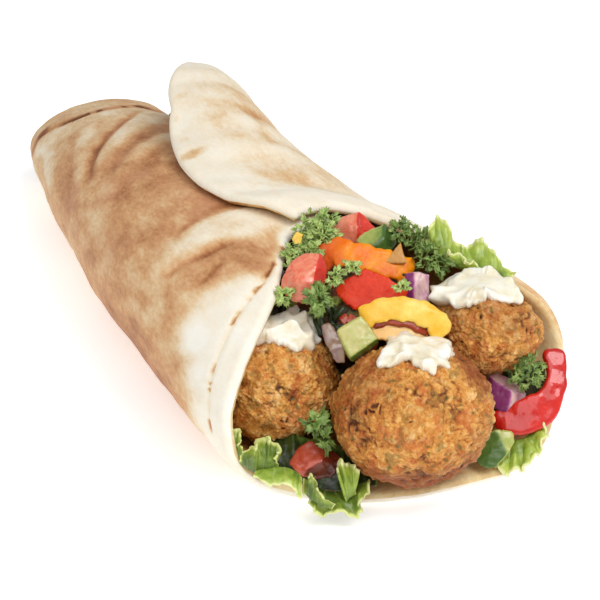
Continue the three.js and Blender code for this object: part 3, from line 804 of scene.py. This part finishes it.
def make_sauce(place, ball):
    seed = ball["seed"]
    axis = unit(np.array(ball["sauce"]))
    side = unit(np.array([1, 0, 0]) - axis[0] * axis)
    piece = started(bpy.ops.mesh.primitive_uv_sphere_add, f"sauce_on_{place}", radius=1,
                    segments=SAUCE_STEPS, ring_count=SAUCE_RINGS)
    p = rows_of(piece)
    polar, angle = np.arccos(np.clip(p[:, 2], -1, 1)), np.arctan2(p[:, 1], p[:, 0])
    out = np.sin(polar) ** 0.9
    ring = np.stack([np.cos(angle), np.sin(angle), 0 * angle], axis=-1)
    frayed = 1 + 0.16 * uneven(ring * 3, 1.1, seed, 2) + 0.1 * uneven(ring * 3, 0.4, seed + 2)
    lean = np.radians(around(ball["reach"], np.degrees(angle)) * frayed * out)[:, None]
    direction = np.cos(lean) * axis + np.sin(lean) * (ring @ [side, np.cross(axis, side), axis])
    plain = ball_skin(ball, direction)
    edge = np.clip(1 - out**7, 0, 1) ** 0.45
    dome = edge * (1 - ball["bank"] * (1 - smooth(out, 0.4, 0.9)))
    dome = dome * (1 + ball["left_bank"] * out * np.maximum(-ring[:, 0], 0))
    folds = 0.9 * (0.4 - np.abs(uneven(plain * [1.0, 0.7, 1.0], 4.6, seed + 60)))
    folds = folds + 0.36 * uneven(plain, 2.2, seed + 61)
    heap = np.maximum(ball["depth"] * dome * np.maximum(0.8 + folds, 0.42), 0.68 * edge)
    lift = np.where(p[:, 2] > 0, 0.1 + heap, -1.2 * np.cos(polar * 0.5 + 0.8) ** 2 - 0.4)
    shaped(piece, plain + direction * lift[:, None] + middle_of(f"falafel_{place}"))
    done(piece, "white_sauce", "sauce", f"sauce_{place}")


# ---- chopped vegetables
# For each solid: its piece's name and finish, how much its edges are softened, the side with its skin, how
# far round the skin goes (1 is not at all), and its corners, across, up and out of the mouth.
CUTS = {
    "tomato_top": ("tomato_wedge_top", "tomato", 4, (0.9, 0.3, 0.3), 0.45, [
        (-5.3, 3, 0.5), (1.5, 5, 0.5), (6, 0.5, -1), (4.5, -1.5, 0), (2, -3.5, 2.5), (-1, -4, 2.8),
        (-3.5, -3.2, 2.2), (-5.8, 0.8, 1), (1, 1, 3.6), (0, 0, -4), (-4, 2, -3), (3, 2, -4)]),
    "tomato_left": ("tomato_wedge_left", "tomato", 9, (0.85, 0.35, 0.1), 0.55, [
        (4, 6.7, -1), (5.3, 4.3, 0), (5.3, -1.2, 1), (3.1, -4.2, 1.5), (0, -6, 1.5), (-3.1, -5.2, 1),
        (-5.9, -2.6, 0), (-5.4, 1.2, 0), (-3.3, 4.8, -0.5), (0, 6.8, -1), (2.8, 3.2, 3), (-1, 0, 4),
        (2, -2, 4), (0, 3, -4), (-4, -2, -4), (4, -2, -4)]),
    "tomato_low": ("tomato_wedge_low", "tomato_shaded", 6, (0.72, -0.25, 0.55), 0.7, [
        (-0.8, 3.9, -0.5), (3.7, 1.9, 0), (6.8, -1.2, -1), (5.2, -4.6, 0), (0.8, -5.6, 1), (-2.9, -5, 2),
        (-6.4, -1.7, 1.2), (-4.4, 1.4, 0), (1.6, -0.9, 3.2), (-2.2, -3, 3.2), (0, 0, -4), (-4, 2, -3),
        (4, 0, -4)]),
    "cucumber_dice": ("cucumber_cube", "cucumber", 4, (0.4, -0.9, 0.1), 0.5, [
        (-3.9, 1.8, 2), (1.8, 5.3, 1), (6, 0, 1.5), (-0.6, -4.6, 3.2), (6.2, -1.4, -0.5), (-0.4, -6, 1),
        (-3.8, -0.6, 0), (-2.6, 2.4, -3.5), (2, 4, -4), (5.4, -0.5, -4), (0, -5, -3)]),
    "cucumber_top": ("cucumber_wedge", "cucumber", 6, (0.9, 0.1, 0.42), 0.2, [
        (-6.6, 1.1, 0), (-4.4, 3.4, -0.5), (-0.6, 4.4, 0), (1.1, 5.8, 0), (3.2, 3.4, 0.4), (4.1, 0.4, 0),
        (2.2, -2.8, 1), (-0.7, -2.9, 2), (-3.7, -1.4, 2), (0.6, 1.8, 2.6), (0, 0, -4), (-4, 2, -4),
        (3, 1, -3)]),
    "cucumber_low": ("cucumber_slice", "cucumber", 4, (-0.5, -0.5, 0.5), 0.45, [
        (-3.4, -1.2, 0), (-2.5, 3, 0.3), (1.5, 5.4, 0.6), (6, 4.8, 0.2), (6.4, 2.6, 0.8), (4.6, -0.8, 2),
        (1.5, -4.2, 1.8), (-2, -4.3, 1), (-4, 1, -3), (2, 3, -4), (4, 0, -3)]),
    "onion_left": ("onion_sliver", "red_onion_shaded", 4, (-0.8, 0.3, -0.4), 0.75, [
        (-3.3, 3.5, 0.5), (-0.9, 4.3, 0), (2.7, -1.2, 1), (2.7, -5.2, 1.5), (0.6, -5.5, 1.8),
        (-2, -1.2, 1.8), (-2, 3, -3), (1.6, -1, -3), (1.8, -4.5, -2.5)]),
    "onion_top": ("onion_piece", "red_onion_layers", 4, (-0.85, 0, 0.4), 0.5, [
        (-3, 3.6, 0), (-0.7, 3.9, 0.8), (3.1, 3.2, 0), (3.4, -3.8, 0.6), (-0.5, -4, 1.8), (-3.2, -2.6, 1),
        (-0.6, 0, 2), (-2, 2.5, -3), (2.4, 2, -3), (2.4, -3, -3)]),
    "onion_right": ("onion_square", "red_onion_layers", 4, (-0.62, -0.1, 0.78), 0.72, [
        (-4.6, 5.4, 0), (-1.8, 5.9, -1.5), (3.9, 2.5, -1), (5.2, 0.6, -0.5), (3, -4.4, 0.6),
        (-0.4, -5.4, 1.8), (-4.4, -1.4, 1.4), (1, 1.6, 3), (-3.6, 4.4, 1.2), (3, 0, -4), (-3, 3, -4),
        (-2, -3, -3)]),
}


CUT_GRAIN = 0.4


def make_cut(name, finish, slot, seed, origin, corners, *nodes, soft=4, rough=0.22, side=(1, 0, 0), start=1):
    """A chopped piece: flat cuts from corner to corner, with its edges and sides a little softened."""
    piece = from_points(name, origin + np.array(corners) @ MOUTH)
    edited(piece, (bpy.ops.mesh.convex_hull, {}))
    modified(piece, "REMESH", mode="VOXEL", voxel_size=CUT_GRAIN * MM)
    modified(piece, "SMOOTH", factor=0.5, iterations=soft)
    facing = rows_of(piece, "normal") @ (np.array(side) @ MOUTH)
    mark(piece, skin=smooth(facing, start - 0.25, start + 0.1), end=0)
    p = rows_of(piece) / MM
    pushed(piece, rough * uneven(p + 13 * seed, 3.2, seed, 2) + 0.07 * uneven(p, 0.9, seed + 1, 2))
    done(piece, finish, slot, *nodes)


def make_cuts():
    for seed, (node, (name, finish, soft, side, start, corners)) in enumerate(CUTS.items(), 1):
        make_cut(name, finish, node.split("_")[0], seed, middle_of(node), corners, node,
                 soft=soft, side=side, start=start)
    make_cut("pepper_chip", "pepper_inside", "pepper_orange", 11, OFFSET + (10, 36, 46.8),
             [(-3.6, -2.4, 0.6), (1.2, 2.8, 0), (2.6, -2.6, 1), (-0.4, -2.8, 1.2), (-2.6, -2.2, -1),
              (1.2, 2.2, -1.4), (2.2, -2.2, -0.6)], soft=2)
    make_cut("cucumber_bit", "cucumber", "cucumber", 12, OFFSET + (-33.6, 16.4, 14.6),
             [(-2.4, -1, 0), (-1, 1.6, 0), (2.2, 1.2, 0), (1.6, -1.8, 0.6), (0, 0, -3)])


STRIP_STEPS, STRIP_SIDES = 110, 40  # along a strip and round it
STRIP_MERGE = 0.002
SQUARE, BLUNT = 4, 10  # how square its section is, and how blunt its ends are


def make_strip(name, finish, node, path, width, thick, up, waves, turn=0, pinch=0.1, belly=0, stands=True):
    """A strip of pepper along a path from the middle of its solid: pinch is how deep its edges wave."""
    piece, t, angle = grid(name, STRIP_STEPS, STRIP_SIDES)
    path, places = by_mouth(node, path), np.linspace(0, 1, 201)
    run = np.cumsum(np.linalg.norm(np.diff(through(path, places), axis=0, prepend=path[:1]), axis=1))
    even = np.interp(t, run / run[-1], places)
    ahead = unit(through(path, even + 0.01) - through(path, even - 0.01))
    across = unit(np.cross(ahead, np.array(up) @ MOUTH))
    c, s = np.cos(2 * np.pi * angle), np.sin(2 * np.pi * angle)
    size = (np.abs(c) ** SQUARE + np.abs(s) ** SQUARE) ** (-1 / SQUARE) / 2
    size = size * np.sqrt(np.clip(1 - np.abs(2 * t - 1) ** (2 * BLUNT), 0, 1))
    wide = width + belly * (smooth(t, 0.2, 0.62) - 0.75 * smooth(t, 0.72, 1.0))
    wide = wide * (1 + pinch * np.sin(waves * t + turn) + 0.4 * pinch * np.sin(2.3 * waves * t + 1))
    shaped(piece, through(path, even) + across * (c * size * wide)[:, None]
           + np.cross(across, ahead) * (s * size * thick)[:, None])
    mark(piece, end=smooth(t, 0.42, 0.0))
    edited(piece, (bpy.ops.mesh.remove_doubles, {"threshold": STRIP_MERGE * MM}),
           (bpy.ops.mesh.normals_make_consistent, {"inside": False}))
    p = rows_of(piece) / MM
    pushed(piece, 0.26 * uneven(p, 3.2, len(name), 2) + 0.05 * uneven(p, 0.9, 5, 2))
    done(piece, finish, node, *([node] if stands else []))


def make_peppers():
    make_strip("orange_pepper_strip", "orange_pepper", "pepper_orange",
               [(-11.2, -0.8, -0.4), (-7.6, 1.6, 0.8), (-2.4, 0.9, 1.6), (3, -0.6, 1.4), (8, -2, 0.8),
                (12, -4, -0.2)], 7, 1.7, (0.15, 0.3, 0.94), 27, turn=1.2)
    make_cut("flat_pepper_piece", "scarlet_pepper", "pepper_flat", 3, middle_of("pepper_flat"),
             [(-8.1, -0.7, 0), (-4.6, 2.6, 0), (-0.7, 4.8, -0.4), (4.6, 2.6, 0.4), (9.8, -0.6, 1.2),
              (9.1, -3.1, 1.2), (2, -4.6, 1.6), (-3.6, -5.6, 1.2), (-7.4, -2.6, 0), (-0.7, 3.2, -2.2),
              (8.6, -2.2, -0.6), (-3.2, -4.6, -1), (-6, 0, -1.6)],
             "pepper_flat", soft=2, rough=0.14, side=(0, 0, 1), start=0.3)
    make_strip("yellow_pepper_ring", "yellow_pepper", "pepper_yellow",
               [(-9.6, -1.4, 0.2), (-6.8, 0, 1), (-2.4, 0.9, 1.6), (3, 0.5, 1.6), (7.8, -1.6, 1.2),
                (10.2, -5.4, 0)], 5.8, 1.9, (0.1, 0.25, 0.96), 30, turn=0.4, pinch=0.08)
    make_cut("pepper_bit", "yellow_pepper", "pepper_yellow", 14, OFFSET + (-11.6, 46.4, 51.4),
             [(-1.6, -0.6, 0), (-0.4, 1.6, 0), (1.6, 1, 0), (1.2, -1.8, 0.4), (-0.8, -1.8, 0.2),
              (0, 0, -2.5)])
    make_strip("yellow_pepper_slit", "pepper_edge", "pepper_yellow",
               [(-6.4, -2.9, 1), (-2.4, -2.2, 1.8), (2.4, -2.8, 1.8), (6.2, -5, 1)],
               1.7, 1.6, (0, 0.4, 0.92), 18, pinch=0.2, stands=False)
    make_strip("yellow_pepper_inside", "yellow_pepper_flesh", "pepper_yellow",
               [(-7.2, -4.8, 0.6), (-3.4, -4.4, 1.4), (1.6, -5.2, 1.6), (6, -7.4, 0.8)],
               4, 1.6, (0, 0.4, 0.92), 20, turn=2, stands=False)
    make_strip("red_pepper_strip", "red_pepper", "pepper_red",
               [(5.2, 9.6, -2), (6, 5.4, -0.4), (5.6, 0.6, 1), (2.6, -4.2, 2), (-3, -7.2, 1.8),
                (-9.4, -7.6, 0.2)], 4.9, 2.6, (0.1, 0.2, 0.97), 10, turn=1, pinch=0.06, belly=3.2)


# ---- lettuce
# The leaves of each solid: name, finish, how deep and how many times it ruffles, seed, where it grows from
# and where its frilled edge runs, across, up and out of the mouth. The first leaf stands for the solid. The
# shade leaves are dark sheets of painted shade set behind the others.
LEAVES = {
    "lettuce_top": [
        ("lettuce_lobes_top", "lettuce", 0.8, 5, 1,
         [(-8.1, 0, 1), (-5.1, -2.9, 1.6), (-1.5, -4.9, 2), (3.4, -6.1, 2), (7.6, -6.8, 1), (11, -7.5, 0)],
         [(-8.6, 1.9, -1), (-7.3, 8.9, -1.5), (-4.2, 5.8, -1), (-2.4, 1.9, 0), (-0.2, 0.9, 0.5),
          (2.1, 2.3, 0), (5, 2.1, -0.5), (6.6, -1, -0.5), (9.2, -3.6, -0.5), (11.9, -5.8, -0.5)]),
        ("lettuce_fold_top", "lettuce", 0.7, 3, 5,
         [(-4.9, -3, 2), (-1.6, -4.5, 2.6), (1.8, -5.7, 2.4), (5.4, -6.9, 1.2)],
         [(-5.1, -0.2, 4), (-1.8, -1.7, 4.8), (1.6, -3.6, 4.6), (5.7, -5.3, 2.8)]),
    ],
    "lettuce_left": [
        ("lettuce_curl_left", "lettuce_darker", 1.1, 3, 2,
         [(-7.5, -0.6, 0), (-4.7, -2.4, 0.4), (-1.9, -3.4, 0.4), (0.4, -2.7, 0.2), (1.8, -1.6, 0)],
         [(-6.5, 0.6, 1.8), (-4.4, 2.6, 2.4), (-2.8, 4.3, 1.5), (-0.6, 4.8, 0.8), (1.4, 3.2, 1),
          (2.1, 0.7, 1.5)]),
        ("lettuce_tuft_left", "lettuce_darker", 0.6, 2, 11,
         [(-9.8, 1.1, -1), (-8.4, 0.3, 0), (-7, -0.6, 0)],
         [(-9.6, 2.6, 0), (-9.2, 6.8, 0.5), (-7.4, 6.9, 1), (-6.6, 4.3, 1.5), (-6.9, 1.8, 1.5)]),
        ("lettuce_flop_left", "lettuce", 0.35, 2, 3,
         [(-3.3, -2.9, 0.8), (-0.5, -2, 0.6), (3.2, -2, 0.6), (5.9, -2.9, 0.6), (7.1, -4.2, 0.8)],
         [(-3.7, -4, 3), (-1.1, -5.3, 4.2), (2.3, -5.5, 4.6), (5.3, -6.7, 4.2), (7.4, -9.2, 4)]),
    ],
    "lettuce_front": [
        ("lettuce_spread_front", "lettuce_darker", 0.8, 4, 4,
         [(-8.4, 3.2, -1.5), (-4.9, 0.9, -1), (-0.9, 0, -1), (3.1, 0.8, -1), (7.3, 2.8, -1.5)],
         [(-8.4, -0.8, 2), (-6.1, -1, 3), (-6.5, -4.3, 3.6), (-2.6, -4.7, 3.8), (1.3, -4.8, 3.8),
          (5.6, -4.6, 3.4), (5.1, -1.4, 3), (7.4, 1.7, 2)]),
        ("lettuce_prong_front", "lettuce_darker", 0.5, 2, 12,
         [(-7.7, 0, 3), (-6.3, -1.3, 4), (-4, -2.4, 5), (-1.7, -3.3, 5)],
         [(-7, 2.3, 3), (-6.3, 4.6, 3), (-5.3, 1.6, 4), (-3.2, -0.8, 5), (-1.4, -2.5, 5.5)]),
        ("lettuce_curl_front", "lettuce", 0.9, 3, 6,
         [(1.6, -2, 2.4), (2.5, -1, 2.6), (3.9, -0.1, 2)],
         [(-0.3, 5, 2.4), (-0.3, 7.1, 2.4), (1.4, 7.6, 2.6), (3.7, 5.9, 2.4), (3.2, 3.3, 2)]),
        ("lettuce_shade_low", "lettuce_shaded", 0.8, 4, 8,
         [(-18, 7, -6), (-9, 2.2, -4), (0, 0, -3), (9, 1.2, -4)],
         [(-17, 13, -9), (-8, 12.5, -10), (0, 9.5, -10), (10, 5.4, -9)]),
    ],
    "lettuce_right": [
        ("lettuce_frill_right", "lettuce", 1.1, 5, 7,
         [(-3.4, -3.2, -0.5), (0, -0.4, 0), (3.1, 0.4, 0), (5.4, 2.4, -0.5), (7, 4.2, -1)],
         [(-5.2, -5.4, 1.5), (-2.2, -8.4, 2.5), (0.4, -7.4, 2.5), (3.8, -6.2, 3), (6.9, -1.9, 2.5),
          (8.2, 1.8, 1.5), (8.4, 4.2, 0)]),
        ("lettuce_shade_right", "lettuce_shaded", 0.7, 3, 9,
         [(-5, 5, -7), (1, 6, -7), (5, 8, -6.5), (9, 11, -6)],
         [(-4, 14, -9), (1, 17, -9), (5, 18, -8.5), (9, 18, -7)]),
    ],
}


LEAF_STEPS = (120, 26)  # along its edge and out to it
LEAF_THICK, LEAF_FLOOR = 0.6, 0.4


def make_leaf(stands, node, name, finish, ruffle, waves, seed, grows, ends):
    """A frilled leaf between the line it grows from and its edge, ruffled more and more towards the edge."""
    piece, s, t = grid(name, *LEAF_STEPS)
    low, high = by_mouth(node, grows), by_mouth(node, ends)
    reach = through(high, s) - through(low, s)
    ahead, behind = (0.4 * through(low, at) + 0.6 * through(high, at) for at in (s + 0.02, s - 0.02))
    along = unit(ahead - behind)
    face = unit(np.cross(along, reach))
    phase = 2 * np.pi * waves * s + seed
    wander = uneven(np.stack([s * 9, t * 3, 0 * s], axis=-1), 1.0, seed + 3, 2)
    big = 1.3 * t**1.5 * np.sin(phase + 0.9 * wander)
    small = 0.5 * t**3 * np.sin(2.7 * phase + 1.7 * t + 1.4 * wander)
    lap = 0.5 * t**2 * np.cos(phase + 0.5) + 0.25 * t**3 * np.cos(2.7 * phase + 1.2)
    tooth = 1 + t**2 * (0.04 * np.sin(phase + 1.3) + 0.05 * np.abs(np.sin(1.6 * phase)) - 0.025)
    tooth = tooth + 0.03 * wander * t
    cup = 0.16 * np.linalg.norm(reach, axis=1) * np.sin(np.pi * t)
    place = through(low, s) + reach * (t * tooth)[:, None] + OUT * cup[:, None]
    place = place + ruffle * (face * (big + small)[:, None] + along * lap[:, None])
    place = place + face * (0.16 * uneven(place, 1.6, 5, 2))[:, None]
    shaped(piece, np.maximum(place, (-np.inf, -np.inf, LEAF_FLOOR)))
    fan = np.abs(np.mod(s * 7 + 0.9 * t * np.sin(9 * s), 1) - 0.5) * 2
    mark(piece, vein=(1 - smooth(fan, 0.0, 0.12 + 0.2 * (1 - t))) * (1 - smooth(t, 0.7, 1.0)),
         rim=np.maximum(t, np.abs(2 * s - 1) ** 4))
    modified(piece, "SOLIDIFY", thickness=LEAF_THICK * MM, offset=0, use_rim=True)
    modified(piece, "SUBSURF", levels=1, render_levels=1)
    done(piece, finish, "lettuce", *([node] if stands else []))


# ---- packed salad, herbs and shreds
CORE_MERGE, CORE_GRAIN = 0.01, 1.3


def make_core():
    """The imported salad: the solid's own shape, smaller and broken up."""
    core = bpy.data.objects.new("salad_core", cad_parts["salad_filling"].data.copy())
    core.data.materials.clear()
    bpy.context.scene.collection.objects.link(core)
    edited(core, (bpy.ops.mesh.remove_doubles, {"threshold": CORE_MERGE * MM}))
    modified(core, "REMESH", mode="VOXEL", voxel_size=CORE_GRAIN * MM)
    place = rows_of(core) / MM
    _, border, number = grains(place, 4.5, 3)
    pushed(core, -1.1 + 0.9 * (number - 0.5) * smooth(border, 0, 0.4) + 0.5 * uneven(place, 7, 4, 2))
    done(core, "packed_salad", "salad", "salad_filling")
    return core


def leaflet(ruffle, seed):
    """A toothed leaf of three lobes, one unit long along +Y and facing +Z: points, faces, rim marks."""
    rows, columns = 4, 18
    places = []
    for i, j in np.ndindex(rows + 1, columns + 1):
        r, a = i / rows, math.radians(lerp(-104, 104, j / columns))
        far = r * (0.3 + 0.7 * abs(math.cos(1.5 * a)) ** 0.8) * (1 - 0.3 * (j % 2) * r**2)
        fold = 0.34 * r * abs(math.sin(1.5 * a)) - 0.28 * r * r
        wave = ruffle * r * r * math.sin(4.3 * a + 1.7 * seed)
        places.append([math.sin(a) * far * 0.8, math.cos(a) * far, fold + wave])
    firsts = [i * (columns + 1) + j for i, j in np.ndindex(rows, columns)]
    faces = [[k, k + columns + 1, k + columns + 2, k + 1] for k in firsts]
    return np.array(places), faces, np.repeat(np.linspace(0, 1, rows + 1), columns + 1)


def shred(length, width, bend, seed):
    """A thin curved shred along +Y: points, faces, rim marks."""
    steps = 8
    places = []
    for i, side in np.ndindex(steps + 1, 2):
        t = i / steps
        x = (side - 0.5) * width * (1 - 0.5 * abs(2 * t - 1) ** 3)
        places.append([x + 0.4 * bend * math.sin(3 * t + seed), t * length, bend * math.sin(math.pi * t)])
    faces = [[k, k + 1, k + 3, k + 2] for k in range(0, 2 * steps, 2)]
    return np.array(places), faces, np.full(len(places), 0.5)


def dice(size, seed):
    """A small cut cube with uneven corners: points, faces, rim marks."""
    corners = np.array(list(np.ndindex(2, 2, 2))) - 0.5
    places = corners * size + np.random.default_rng(seed).normal(size=(8, 3)) * size * 0.08
    faces = [[0, 1, 3, 2], [4, 6, 7, 5], [0, 4, 5, 1], [2, 3, 7, 6], [0, 2, 6, 4], [1, 5, 7, 3]]
    return places, faces, np.full(8, 0.3)


def joined(name, parts):
    """One mesh of many parts, each a (points, faces, rim marks), in millimetres."""
    faces, count = [], 0
    for places, own, _ in parts:
        faces += [[k + count for k in face] for face in own]
        count += len(places)
    piece = from_points(name, np.concatenate([part[0] for part in parts]), faces)
    mark(piece, rim=np.concatenate([part[2] for part in parts]))
    return piece


def laid(part, scale, direction, normal, roll, at):
    """A part with +Y turned to a direction and +Z towards a normal, rolled about it by degrees."""
    y = unit(direction)
    x = unit(np.cross(y, normal))
    z = np.cross(x, y)
    c, s = math.cos(math.radians(roll)), math.sin(math.radians(roll))
    places, faces, rims = part
    return (places * scale) @ np.array([c * x - s * z, y, s * x + c * z]) + at, faces, rims


def sprig(at, size, lean, count, spread, seed):
    """A tuft of parsley round a point: its leaves fan outwards and face where it leans."""
    rng = np.random.default_rng(seed)
    lean = unit(np.array(lean))
    parts = []
    for k in range(count):
        wild = rng.normal(size=3)
        wild = unit(wild - 0.8 * (wild @ lean) * lean)
        direction = wild + lean * rng.uniform(-0.2, 0.7)
        start = at + OFFSET + wild * spread * rng.random() ** 0.7 + lean * rng.uniform(-0.4, 0.35) * spread
        leaf = leaflet(0.12 * rng.uniform(0.5, 1.5), seed * 31 + k)
        normal, roll = lean + 0.5 * rng.normal(size=3), rng.uniform(-30, 30)
        parts.append(laid(leaf, size * rng.uniform(0.7, 1.2), direction, normal, roll, start))
    return parts


# The tufts of each piece: middle in the roll's own millimetres, leaf size, lean, how many leaves, how wide.
TUFTS = {
    "parsley_leaves": ("parsley", [
        ((-5.2, 49.4, 49.5), 2.1, (-0.3, -0.6, 0.7), 92, 5.2),
        ((-3.6, 47.6, 50), 1.9, (-0.1, -0.6, 0.8), 28, 2.6),
        ((-8.4, 46, 47.6), 1.9, (-0.4, -0.7, 0.5), 28, 2.8),
        ((-13.5, 45.6, 47.4), 2, (-0.4, -0.7, 0.5), 20, 1.8),
        ((-15.1, 44.6, 44.7), 1.6, (-0.5, -0.7, 0.4), 9, 1.2),
        ((-0.6, 52.4, 50.4), 2.2, (-0.2, -0.6, 0.7), 18, 2.2),
        ((-10.2, 29.4, 48.4), 1.9, (-0.5, -0.6, 0.7), 18, 2),
        ((-4.6, 31.4, 48.6), 1.8, (-0.4, -0.6, 0.7), 12, 1.6),
        ((-21.8, 33.2, 44.2), 2.1, (-0.5, -0.6, 0.5), 12, 1.4),
        ((2.2, 18.9, 47.8), 1.8, (-0.4, -0.6, 0.7), 7, 1.2),
    ]),
    "parsley_dark": ("parsley_shaded", [
        ((29.6, 6.2, 24.2), 2.1, (-0.3, -0.8, 0.3), 54, 4),
        ((15, 41.6, 49.6), 2, (-0.2, -0.6, 0.8), 30, 2.6),
        ((18, 37.4, 48), 2, (-0.3, -0.6, 0.7), 32, 2.8),
        ((18, 30.4, 46.2), 2.1, (-0.3, -0.6, 0.7), 64, 4.2),
        ((-15.6, 27.2, 44.8), 3, (-0.4, -0.6, 0.5), 22, 2.4),
        ((-24.2, 12, 21.4), 3.2, (-0.4, -0.8, 0.3), 14, 2),
        ((-23.4, 10.6, 17.4), 2.6, (-0.4, -0.8, 0.3), 9, 1.6),
    ]),
}
PARSLEY_THICK = 0.18


def make_parsley():
    for name, (finish, tufts) in TUFTS.items():
        parts = []
        for k, tuft in enumerate(tufts):
            parts += sprig(*tuft, 3 * k + len(name))
        piece = joined(name, parts)
        modified(piece, "SOLIDIFY", thickness=PARSLEY_THICK * MM, offset=0, use_rim=True)
        done(piece, finish, "lettuce")


# Loose pieces of each kind: their finish, slot and number. The first kind is shreds, the others are dice.
LOOSE = [("lettuce_shaded", "lettuce", 130), ("tomato_shaded", "tomato", 20), ("cucumber", "cucumber", 22),
         ("red_onion", "onion", 26)]
LOOSE_SEED = 70
MOUTH_END, TAIL_START, LOOSE_FLOOR = -20, 60, 11  # where loose bits may lie, in millimetres
SHRED_THICK, DICE_BEVEL = 0.4, 0.25


def make_shreds(core):
    """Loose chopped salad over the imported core, where it shows at the mouth and at the tail."""
    place, normal = rows_of(core) / MM, rows_of(core, "normal")
    at_mouth = (normal @ OUT > 0.25) & (place[:, 1] < MOUTH_END) & (place[:, 2] > LOOSE_FLOOR)
    at_tail = (normal[:, 1] > 0.5) & (place[:, 1] > TAIL_START)
    for kind, (finish, slot, count) in enumerate(LOOSE):
        rng = np.random.default_rng(LOOSE_SEED + kind)
        parts = []
        for spot, share in ((at_mouth, count), (at_tail, count // 3)):
            for k in rng.choice(np.flatnonzero(spot), share):
                lean = unit(normal[k] + 0.4 * rng.normal(size=3))
                direction, roll = np.cross(lean, rng.normal(size=3)), rng.uniform(-40, 40)
                if kind == 0:
                    part = shred(rng.uniform(3, 6), rng.uniform(0.8, 1.8), rng.uniform(0.3, 1.2), k)
                else:
                    part = dice(rng.uniform(1.6, 3.2), k)
                parts.append(laid(part, 1, direction, lean, roll, place[k] + lean * rng.uniform(-0.7, 0.3)))
        bits = joined(f"salad_bits_{kind + 1}", parts)
        if kind == 0:
            modified(bits, "SOLIDIFY", thickness=SHRED_THICK * MM, offset=0, use_rim=True)
        else:
            modified(bits, "BEVEL", width=DICE_BEVEL * MM, segments=2)
            mark(bits, skin=0.3)
        done(bits, finish, slot)


add_camera()
add_studio()
make_finishes()
make_flatbread()
for place, ball in BALLS.items():
    make_falafel(place, ball)
    make_sauce(place, ball)
core = make_core()
make_cuts()
make_peppers()
for node, leaves in LEAVES.items():
    for leaf in leaves:
        make_leaf(leaf == leaves[0], node, *leaf)
make_parsley()
make_shreds(core)
